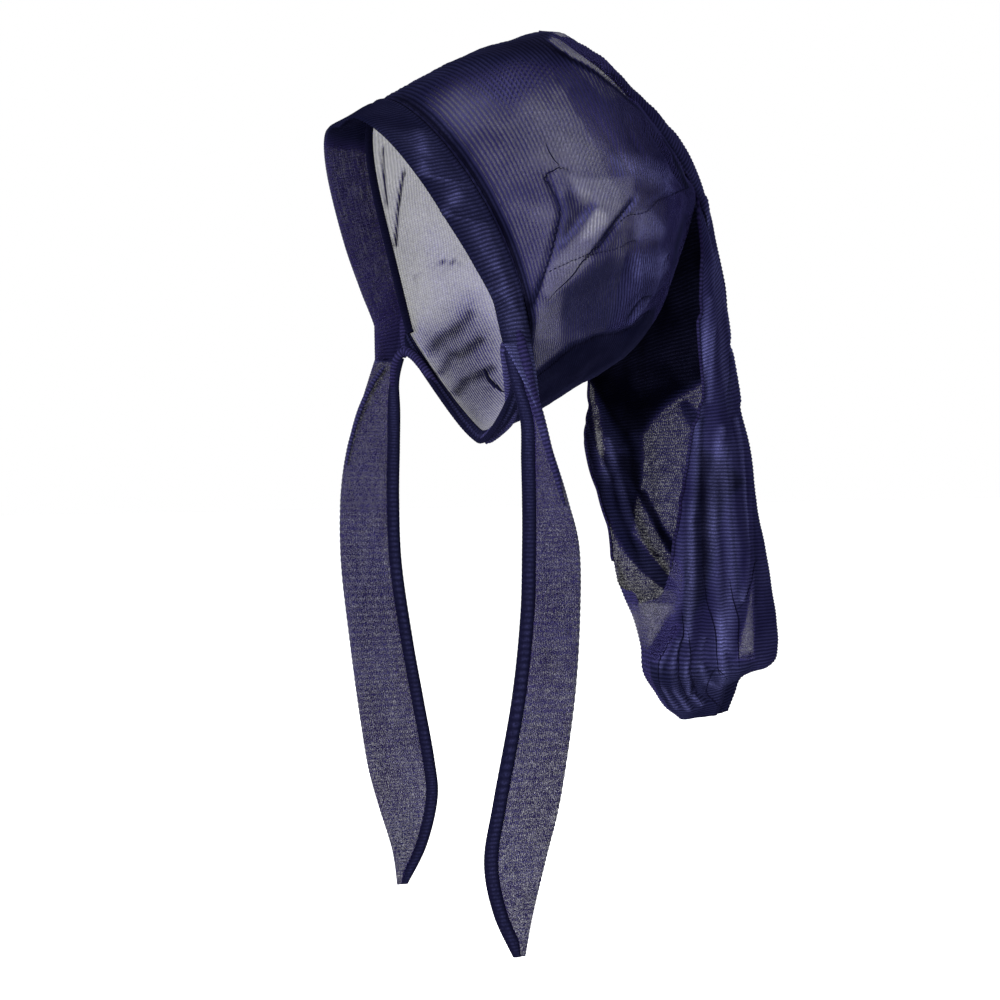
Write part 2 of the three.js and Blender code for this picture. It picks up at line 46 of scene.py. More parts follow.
# the camera, the lights and the floor, in metres in the frame
studio = {
    "cameraAt": (0.7947, -0.4123, -0.229),
    "looking": (-0.899, 0.438, 0.0),
    "lens": 58.0,
    "shiftY": -0.05,
    "floorZ": -0.62,
    "floorSize": 9.0,
    "floorColour": (0.93, 0.93, 0.93, 1.0),
    "floorGlow": 0.2,
    "worldLight": 1.0,
    "lightsAimAt": (0.0, 0.0, -0.15),
    # place, size, power, colour
    "lights": [
        ((0.80, -1.30, 0.02), 0.8, 100.0, (1.0, 0.99, 0.98)),
        ((1.25, 0.55, 0.30), 0.9, 12.0, (0.98, 0.99, 1.0)),
        ((-0.30, 1.30, 0.55), 0.8, 25.0, (1.0, 1.0, 1.0)),
    ],
}
white = (1.0, 1.0, 1.0, 1.0)


def addCamera():
    data = bpy.data.cameras.new("camera")
    camera = bpy.data.objects.new("camera", data)
    bpy.context.collection.objects.link(camera)
    camera.location = studio["cameraAt"]
    camera.rotation_euler = Vector(studio["looking"]).to_track_quat("-Z", "Y").to_euler()
    data.lens = studio["lens"]
    data.sensor_width = 36.0
    data.shift_y = studio["shiftY"]
    data.clip_start = 0.01
    bpy.context.scene.camera = camera


def addLights():
    for number, (place, size, power, colour) in enumerate(studio["lights"]):
        data = bpy.data.lights.new(f"softbox{number}", "AREA")
        data.shape = "DISK"
        data.size = size
        data.energy = power
        data.color = colour
        lamp = bpy.data.objects.new(f"softbox{number}", data)
        bpy.context.collection.objects.link(lamp)
        lamp.location = place
        aim = Vector(studio["lightsAimAt"]) - Vector(place)
        lamp.rotation_euler = aim.to_track_quat("-Z", "Y").to_euler()
    world = bpy.data.worlds.new("studio")
    bpy.context.scene.world = world
    world.use_nodes = True
    backdrop = world.node_tree.nodes["Background"]
    backdrop.inputs["Color"].default_value = white
    backdrop.inputs["Strength"].default_value = studio["worldLight"]


def addFloor():
    half, height = studio["floorSize"], studio["floorZ"]
    mesh = bpy.data.meshes.new("floor")
    corners = [(-half, -half, height), (half, -half, height), (half, half, height), (-half, half, height)]
    mesh.from_pydata(corners, [], [(0, 1, 2, 3)])
    floor = bpy.data.objects.new("floor", mesh)
    bpy.context.collection.objects.link(floor)
    paper = bpy.data.materials.new("palePaper")
    paper.use_nodes = True
    shader = paper.node_tree.nodes["Principled BSDF"]
    shader.inputs["Base Color"].default_value = studio["floorColour"]
    shader.inputs["Roughness"].default_value = 0.9
    shader.inputs["Specular IOR Level"].default_value = 0.1
    shader.inputs["Emission Color"].default_value = white
    shader.inputs["Emission Strength"].default_value = studio["floorGlow"]
    mesh.materials.append(paper)


addCamera()
addLights()
addFloor()
scene = bpy.context.scene
scene.view_settings.view_transform = "Standard"
scene.cycles.transparent_max_bounces = 24
print("studio ready")


def rowsAt(table, places):
    # rows between the rows of a table, every column on a smooth curve
    rows = np.array(table, float)
    last = len(rows) - 1
    at = np.clip(np.asarray(places, float), 0, last)
    index = np.minimum(at.astype(int), last - 1)
    t = (at - index)[:, None]
    before, start = rows[np.maximum(index - 1, 0)], rows[index]
    end, after = rows[index + 1], rows[np.minimum(index + 2, last)]
    slopeIn, slopeOut = (end - before) / 2, (after - start) / 2
    return (start * (2 * t**3 - 3 * t**2 + 1) + slopeIn * (t**3 - 2 * t**2 + t)
            + end * (3 * t**2 - 2 * t**3) + slopeOut * (t**3 - t**2))


def rowsWhere(table, column, values):
    # the same, looked up by a column that only rises or only falls
    key = np.array(table, float)[:, column]
    order = np.argsort(key)
    places = np.interp(values, key[order], np.arange(len(key))[order].astype(float))
    return rowsAt(table, places)


def runAlong(points):
    # how far along a path each of its points lies
    steps = np.linalg.norm(np.diff(points, axis=0), axis=1)
    return np.concatenate([[0.0], np.cumsum(steps)])


def evenRow(points, count, share=None):
    run = runAlong(points)
    at = (np.linspace(0, 1, count) if share is None else share) * run[-1]
    return np.stack([np.interp(at, run, points[:, axis]) for axis in range(3)], axis=1)


def alongPath(points, count):
    # a smooth path through the points, cut into even steps
    points = np.array(points, float)
    smooth = rowsAt(points, np.linspace(0, len(points) - 1, 24 * len(points)))
    return evenRow(smooth, count)


def evenPlaces(surface, last, count):
    # places down a surface's table that are the same distance apart on the cloth
    rough = np.linspace(0, last, 40 * last + 1)
    steps = np.linalg.norm(np.diff(surface(rough), axis=0), axis=2).mean(axis=1)
    run = np.concatenate([[0.0], np.cumsum(steps)])
    return np.interp(np.linspace(0, run[-1], count), run, rough), run[-1]


def smoothed(values, reach):
    # each value becomes the average of those up to reach places away
    window = np.ones(2 * reach + 1) / (2 * reach + 1)
    return np.convolve(np.pad(values, reach, mode="edge"), window, "valid")


def sectionsAt(sections, run, at):
    # a strip's cross-sections at other distances along it
    return np.stack([np.stack([np.interp(at, run, line) for line in sections[..., axis].T], axis=1)
                     for axis in range(3)], axis=2)


def gridNormals(grid, closed):
    down = np.gradient(grid, axis=0)
    if closed:
        across = np.roll(grid, -1, axis=1) - np.roll(grid, 1, axis=1)
    else:
        across = np.gradient(grid, axis=1)
    normal = np.cross(across, down)
    return normal / np.maximum(np.linalg.norm(normal, axis=2, keepdims=True), 1e-9)


def outwardNormals(grid, closed=True):
    # away from the middle of each row
    normal = gridNormals(grid, closed)
    return normal * np.sign((normal * (grid - grid.mean(axis=1, keepdims=True))).sum())


def outAndBack(share):
    # a strip's places across, out along one face and back along the other
    return np.concatenate([share, share[-2:0:-1]])


def ribWave(v):
    return np.cos(2 * math.pi * v)


def lineSum(points, lines, named=None):
    # soft marks along paths: each is (width, amount, path or the name of one)
    total = np.zeros(points.shape[:-1])
    for width, amount, path in lines:
        path = np.array(named[path] if isinstance(path, str) else path, float)
        away = np.full(points.shape[:-1], 1e9)
        for start, end in zip(path[:-1], path[1:]):
            line = end - start
            share = np.clip(((points - start) @ line) / (line @ line), 0, 1)
            away = np.minimum(away, np.linalg.norm(points - start - share[..., None] * line, axis=-1))
        total += amount * np.exp(-((away / width) ** 2))
    return total


def patchSum(points, patches, named=None):
    # soft-edged patches seen from the side: each is (1 for the left or -1 for the right, softness,
    # amount, outline of y, z or the name of one)
    total = np.zeros(points.shape[:-1])
    y, z = points[..., 1], points[..., 2]
    for side, soft, amount, outline in patches:
        corners = np.array(named[outline] if isinstance(outline, str) else outline, float)
        inside = np.zeros(y.shape, bool)
        away = np.full(y.shape, 1e9)
        for (y0, z0), (y1, z1) in zip(corners, np.roll(corners, -1, axis=0)):
            if z0 != z1:
                crosses = (z0 > z) != (z1 > z)
                inside ^= crosses & (y < (y1 - y0) * (z - z0) / (z1 - z0) + y0)
            length = (y1 - y0) ** 2 + (z1 - z0) ** 2
            share = np.clip(((y - y0) * (y1 - y0) + (z - z0) * (z1 - z0)) / length, 0, 1)
            away = np.minimum(away, np.hypot(y - y0 - share * (y1 - y0), z - z0 - share * (z1 - z0)))
        depth = np.clip(np.where(inside, away, -away) / soft * 0.5 + 0.5, 0, 1)
        total += amount * depth * depth * (3 - 2 * depth) * (points[..., 0] * side > 0)
    return total


def softNoise(points, size, seed, waves=14):
    # gentle unevenness, with bumps about size across
    draw = np.random.default_rng(seed)
    total = np.zeros(points.shape[:-1])
    for _ in range(waves):
        way = draw.normal(size=3)
        way *= (2 * math.pi / size) * draw.uniform(0.6, 1.5) / np.linalg.norm(way)
        total += np.sin(points @ way + draw.uniform(0, 2 * math.pi))
    return total / math.sqrt(waves)


def noiseSum(points, table):
    # each is (height, size, seed)
    return sum(height * softNoise(points, size, seed) for height, size, seed in table)


def makePiece(name, points, faces, faceUvs, material, values=None):
    mesh = bpy.data.meshes.new(name)
    mesh.from_pydata(((np.asarray(points) - seat) / 1000).tolist(), [], [list(face) for face in faces])
    layer = mesh.uv_layers.new(name="knit")
    layer.data.foreach_set("uv", np.concatenate([np.ravel(uv) for uv in faceUvs]).astype(np.float32))
    for key, value in (values or {}).items():
        attribute = mesh.attributes.new(key, "FLOAT", "POINT")
        attribute.data.foreach_set("value", np.ravel(value).astype(np.float32))
    mesh.validate()
    mesh.shade_smooth()
    mesh.materials.append(material)
    piece = bpy.data.objects.new(name, mesh)
    bpy.context.collection.objects.link(piece)
    return piece


def clothMesh(name, grid, uv, material, values=None, closed=False, caps=False):
    # one mesh from a grid of points. uv has one column more than a closed grid
    rows, columns = grid.shape[:2]
    spans = columns if closed else columns - 1
    i, j = np.meshgrid(np.arange(rows - 1), np.arange(spans), indexing="ij")
    after = (j + 1) % columns
    faces = np.stack([i * columns + j, i * columns + after, (i + 1) * columns + after,
                      (i + 1) * columns + j], axis=-1).reshape(-1, 4)
    corners = np.stack([uv[i, j], uv[i, j + 1], uv[i + 1, j + 1], uv[i + 1, j]], axis=2).reshape(-1, 4, 2)
    points = grid.reshape(-1, 3)
    values = {key: np.ravel(value) for key, value in (values or {}).items()}
    faces, corners = faces.tolist(), list(corners)
    if caps:
        for row, turned in ((0, True), (rows - 1, False)):
            middle = len(points)
            points = np.vstack([points, grid[row].mean(axis=0)])
            values = {key: np.append(value, value[row * columns]) for key, value in values.items()}
            centre = uv[row].mean(axis=0)
            for k in range(columns):
                a, b = row * columns + k, row * columns + (k + 1) % columns
                uvA, uvB = uv[row, k], uv[row, k + 1]
                faces.append([b, a, middle] if turned else [a, b, middle])
                corners.append(np.array([uvB, uvA, centre] if turned else [uvA, uvB, centre]))
    return makePiece(name, points, faces, corners, material, values)


def stripRing(middle, thick, roundness):
    # the closed cross-sections of a flat strip with rounded edges
    normal = gridNormals(middle, False)
    share = np.linspace(-1, 1, middle.shape[1])
    height = (1 - np.abs(share) ** (2 / roundness)) ** 0.5
    height = np.maximum(height, 0.0)[None, :, None] * thick / 2
    upper = middle + normal * height
    under = middle - normal * height
    return np.concatenate([upper, under[:, -2:0:-1]], axis=1)


def stripMesh(name, grid, ribs, stitches, material, values=None):
    # u counts stitches round the strip and v counts ribs along it
    rows, columns = grid.shape[:2]
    u = np.linspace(0, stitches, columns + 1)[None, :].repeat(rows, axis=0)
    v = np.linspace(0, ribs, rows)[:, None].repeat(columns + 1, axis=1)
    values = {key: np.broadcast_to(value, (rows, columns)) for key, value in (values or {}).items()}
    return clothMesh(name, grid, np.stack([u, v], axis=-1), material, values, closed=True, caps=True)


# no path runs one of these ways, so cross-sections are turned from them
steepWay = np.array([0.31, 0.17, 0.93])
levelWay = np.array([0.95, 0.2, 0.24])


def tube(name, path, radius, material, sides=8, ribs=None, shine=0.0):
    # a rolled edge along a path
    path = np.array(path, float)
    along = np.gradient(path, axis=0)
    along /= np.maximum(np.linalg.norm(along, axis=1, keepdims=True), 1e-9)
    side = np.cross(along, steepWay)
    side /= np.linalg.norm(side, axis=1, keepdims=True)
    over = np.cross(along, side)
    turn = np.linspace(0, 2 * math.pi, sides, endpoint=False)[None, :, None]
    radius = np.reshape(radius, (-1, 1, 1)) * np.ones((len(path), 1, 1))
    grid = path[:, None, :] + radius * (np.cos(turn) * side[:, None, :] + np.sin(turn) * over[:, None, :])
    ribs = runAlong(path)[-1] / 2.4 if ribs is None else ribs
    return stripMesh(name, grid, ribs, 6, material, {"shine": shine})


def threadMesh(name, strands):
    # six-sided strands in one mesh: each is (points, direction at each point, radius at each point)
    points, faces, corners = [], [], []
    turn = np.linspace(0, 2 * math.pi, 6, endpoint=False)
    for line, along, radii in strands:
        along = along / np.linalg.norm(along, axis=1, keepdims=True)
        side = np.cross(along, levelWay)
        side /= np.linalg.norm(side, axis=1, keepdims=True)
        over = np.cross(along, side)
        base, last = len(points), len(line) - 1
        for point, size, x, y in zip(line, radii, side, over):
            points.extend(point + size * (math.cos(a) * x + math.sin(a) * y) for a in turn)
        for step in range(last):
            for k in range(6):
                a, b = base + step * 6 + k, base + step * 6 + (k + 1) % 6
                faces.append([a, b, b + 6, a + 6])
                corners.append(np.array([(k, step), (k + 1, step), (k + 1, step + 1), (k, step + 1)]) / 6)
        faces.append([base + k for k in range(5, -1, -1)])
        faces.append([base + last * 6 + k for k in range(6)])
        corners.extend([np.zeros((6, 2)), np.zeros((6, 2))])
    return makePiece(name, points, faces, corners, seamThreadAndShadeLines)


# the colours of the yarn in each slot, with painted light and shade among them
threads = {
    # haze: painted light of cloth lit from behind, sheer: one stretched layer, body: folded or gathered
    # layers,
    # deep: painted shade in folds and grooves, light: painted highlight where a stretched rib catches the
    # light
    "knit": {
        "haze": (0.016, 0.012, 0.085), "sheer": (0.0086, 0.0073, 0.0310),
        "body": (0.0034, 0.0037, 0.0135), "deep": (0.0006, 0.0006, 0.0022), "light": (0.060, 0.062, 0.160)},
    "double_knit": {
        "haze": (0.0090, 0.0080, 0.0300), "sheer": (0.0046, 0.0035, 0.0160),
        "body": (0.0013, 0.0015, 0.0060), "deep": (0.0006, 0.0006, 0.0022), "light": (0.060, 0.062, 0.165)},
    "binding": {
        "haze": (0.0012, 0.0012, 0.0045), "sheer": (0.0012, 0.0012, 0.0045),
        "body": (0.0012, 0.0012, 0.0045), "deep": (0.0005, 0.0005, 0.0018), "light": (0.030, 0.031, 0.090)},
}
finish = {
    "Roughness": 0.55,
    "Specular IOR Level": 0.0,
    "Specular Tint": (0.55, 0.55, 1.0, 1.0),
    "Sheen Weight": 0.01,
    "Sheen Roughness": 0.4,
    "Sheen Tint": (0.4, 0.4, 1.0, 1.0),
}

pattern = {
    "patchScale": 210,  # of the noise, as is broadScale
    "broadScale": 38,
    "ribWander": 0.16,  # how far the ribs stray, as a share of one
    "stitchLean": 0.8,
    "streaks": (0.9, 0.16),  # how many to a stitch and to a rib
    "bumpDepth": 0.0006,
}


def addNode(tree, kind, **settings):
    node = tree.nodes.new(kind)
    for key, value in settings.items():
        setattr(node, key, value)
    return node


def knitMaterial(name, slot, cover, ribCover=0.0, stitchCover=0.0, speckle=0.1, light=0.35, bump=0.5,
                 grain=900, clump=0.5, streak=0.0, tone=1.0, groove=0.14):
    # cover is how much of the light the plain cloth stops, and 1 is opaque
    colours = {key: tuple(tone * value for value in colour) for key, colour in threads[slot].items()}
    material = bpy.data.materials.new(name)
    material.use_nodes = True
    tree = material.node_tree
    shader = tree.nodes["Principled BSDF"]

    def calc(operation, *values, clamp=False):
        node = addNode(tree, "ShaderNodeMath", operation=operation, use_clamp=clamp)
        for socket, value in zip(node.inputs, values):
            if isinstance(value, (int, float)):
                socket.default_value = value
            else:
                tree.links.new(value, socket)
        return node.outputs[0]

    def mix(share, first, second):
        node = addNode(tree, "ShaderNodeMix", data_type="RGBA")
        tree.links.new(share, node.inputs["Factor"])
        for socket, value in ((node.inputs[6], first), (node.inputs[7], second)):
            if isinstance(value, tuple):
                socket.default_value = (*value, 1.0)
            else:
                tree.links.new(value, socket)
        return node.outputs[2]

    def noise(place, scale, detail=2.0):
        node = addNode(tree, "ShaderNodeTexNoise")
        node.inputs["Scale"].default_value = scale
        node.inputs["Detail"].default_value = detail
        tree.links.new(place, node.inputs["Vector"])
        return node.outputs["Fac"]

    def wave(along):
        return calc("MULTIPLY_ADD", calc("COSINE", calc("MULTIPLY", along, 2 * math.pi)), 0.5, 0.5)

    uvMap = addNode(tree, "ShaderNodeUVMap", uv_map="knit")
    parts = addNode(tree, "ShaderNodeSeparateXYZ")
    tree.links.new(uvMap.outputs[0], parts.inputs[0])
    u, v = parts.outputs[0], parts.outputs[1]
    body = addNode(tree, "ShaderNodeTexCoord").outputs["Object"]
    fine = noise(body, grain, 3)
    patchy, broad = noise(body, pattern["patchScale"]), noise(body, pattern["broadScale"])
    wander = pattern["ribWander"]
    rib = wave(calc("MULTIPLY_ADD", patchy, wander, calc("ADD", v, -wander / 2)))
    # stitches lean to a V on each rib
    inRib = calc("ABSOLUTE", calc("SUBTRACT", calc("FRACT", calc("ADD", v, 0.5)), 0.5))
    stitch = wave(calc("MULTIPLY_ADD", inRib, pattern["stitchLean"], u))
    layers, shine, behind = [addNode(tree, "ShaderNodeAttribute", attribute_name=key).outputs["Fac"]
                             for key in ("layers", "shine", "behind")]

    # colour: the yarn, with painted shade in the groove and a painted highlight on the lit crest
    crest = calc("MULTIPLY", rib, calc("MULTIPLY_ADD", stitch, 0.2, 0.8))
    # sheer yarn turns to body as the cover grows, then to deep painted shade; the far side's sheer cloth
    # takes the painted backlit haze
    cloth = mix(calc("MULTIPLY", layers, 2.0, clamp=True), colours["sheer"], colours["body"])
    cloth = mix(calc("MULTIPLY_ADD", layers, 2.0, -1.0, clamp=True), cloth, colours["deep"])
    sheer = calc("MULTIPLY_ADD", layers, -4.0, 1.0, clamp=True)
    cloth = mix(calc("MULTIPLY", behind, sheer, clamp=True), cloth, colours["haze"])
    # painted shade in the rib grooves, deeper where the cover is higher
    depth = calc("MULTIPLY_ADD", layers, 0.6, groove, clamp=True)
    shadedYarn = mix(calc("MULTIPLY", calc("SUBTRACT", 1.0, crest), depth), cloth, colours["deep"])
    # painted highlight on the crests, broken by fine noise and spread by the shine attribute and broad
    # noise
    spark = calc("MULTIPLY_ADD", fine, 2.6, -0.8, clamp=True)
    glow = calc("ADD", shine, calc("MULTIPLY_ADD", broad, light, -0.35 * light))
    sparkle = calc("MULTIPLY_ADD", calc("MULTIPLY", crest, spark), 0.9, 0.15)
    lit = calc("MULTIPLY", sparkle, glow, clamp=True)
    tree.links.new(mix(lit, shadedYarn, colours["light"]), shader.inputs["Base Color"])

    # cover: ribs and stitches close the knit, and the gaps between them let light through
    ribShare = calc("MULTIPLY_ADD", behind, -0.1, calc("MULTIPLY_ADD", layers, 1.4, 0.5), clamp=True)
    ribbed = calc("MULTIPLY", calc("SUBTRACT", rib, 0.5), ribShare)
    alpha = calc("MULTIPLY_ADD", ribbed, ribCover, calc("ADD", layers, cover))
    for mark, amount in ((stitch, stitchCover), (fine, speckle), (patchy, speckle * clump)):
        alpha = calc("MULTIPLY_ADD", calc("SUBTRACT", mark, 0.5), amount, alpha)
    if streak:
        # pale streaks where the cloth has been pulled lengthwise
        pulled = addNode(tree, "ShaderNodeCombineXYZ")
        for socket, along, scale in zip(pulled.inputs, (u, v), pattern["streaks"]):
            tree.links.new(calc("MULTIPLY", along, scale), socket)
        strand = noise(pulled.outputs[0], 1.0)
        alpha = calc("MULTIPLY_ADD", calc("SUBTRACT", strand, 0.5), streak, alpha)
    alpha.node.use_clamp = True
    tree.links.new(alpha, shader.inputs["Alpha"])

    relief = addNode(tree, "ShaderNodeBump")
    relief.inputs["Strength"].default_value = bump
    relief.inputs["Distance"].default_value = pattern["bumpDepth"]
    height = calc("MULTIPLY_ADD", stitch, 0.15, calc("MULTIPLY", fine, 0.3))
    tree.links.new(calc("ADD", calc("MULTIPLY", rib, 0.5), height), relief.inputs["Height"])
    tree.links.new(relief.outputs[0], shader.inputs["Normal"])
    for key, value in finish.items():
        shader.inputs[key].default_value = value
    return material


crownKnit = knitMaterial("crownRibKnit", "knit", cover=0.79, ribCover=0.42, stitchCover=0.08, speckle=0.34,
                         light=0.25, clump=0.12, tone=0.72, groove=0.5)
tailKnit = knitMaterial("tailRibKnit", "knit", cover=1.0, ribCover=0.14, stitchCover=0.12, speckle=0.9,
                        grain=1500, clump=0.25, groove=0.5)
bandKnit = knitMaterial("bandDoubleKnit", "double_knit", cover=0.93, ribCover=0.12, stitchCover=0.1,
                        speckle=1.0, light=0.15, grain=1500, clump=0.2, streak=0.45, groove=0.4)
tieKnit = knitMaterial("tieDoubleKnit", "double_knit", cover=0.825, ribCover=0.12, stitchCover=0.12,
                       speckle=1.3, grain=1500, clump=0.15, streak=0.16)
bindingKnit = knitMaterial("bindingRib", "binding", cover=1.2, light=0.1, bump=0.25)
hemKnit = knitMaterial("hemRib", "double_knit", cover=1.2, light=0.4, bump=0.6, groove=0.8)
# dark thread for the stitches and for the lines of painted shade along fold edges
seamThreadAndShadeLines = knitMaterial("seamThreadAndShadeLines", "binding", cover=1.3)
print("knit materials ready")


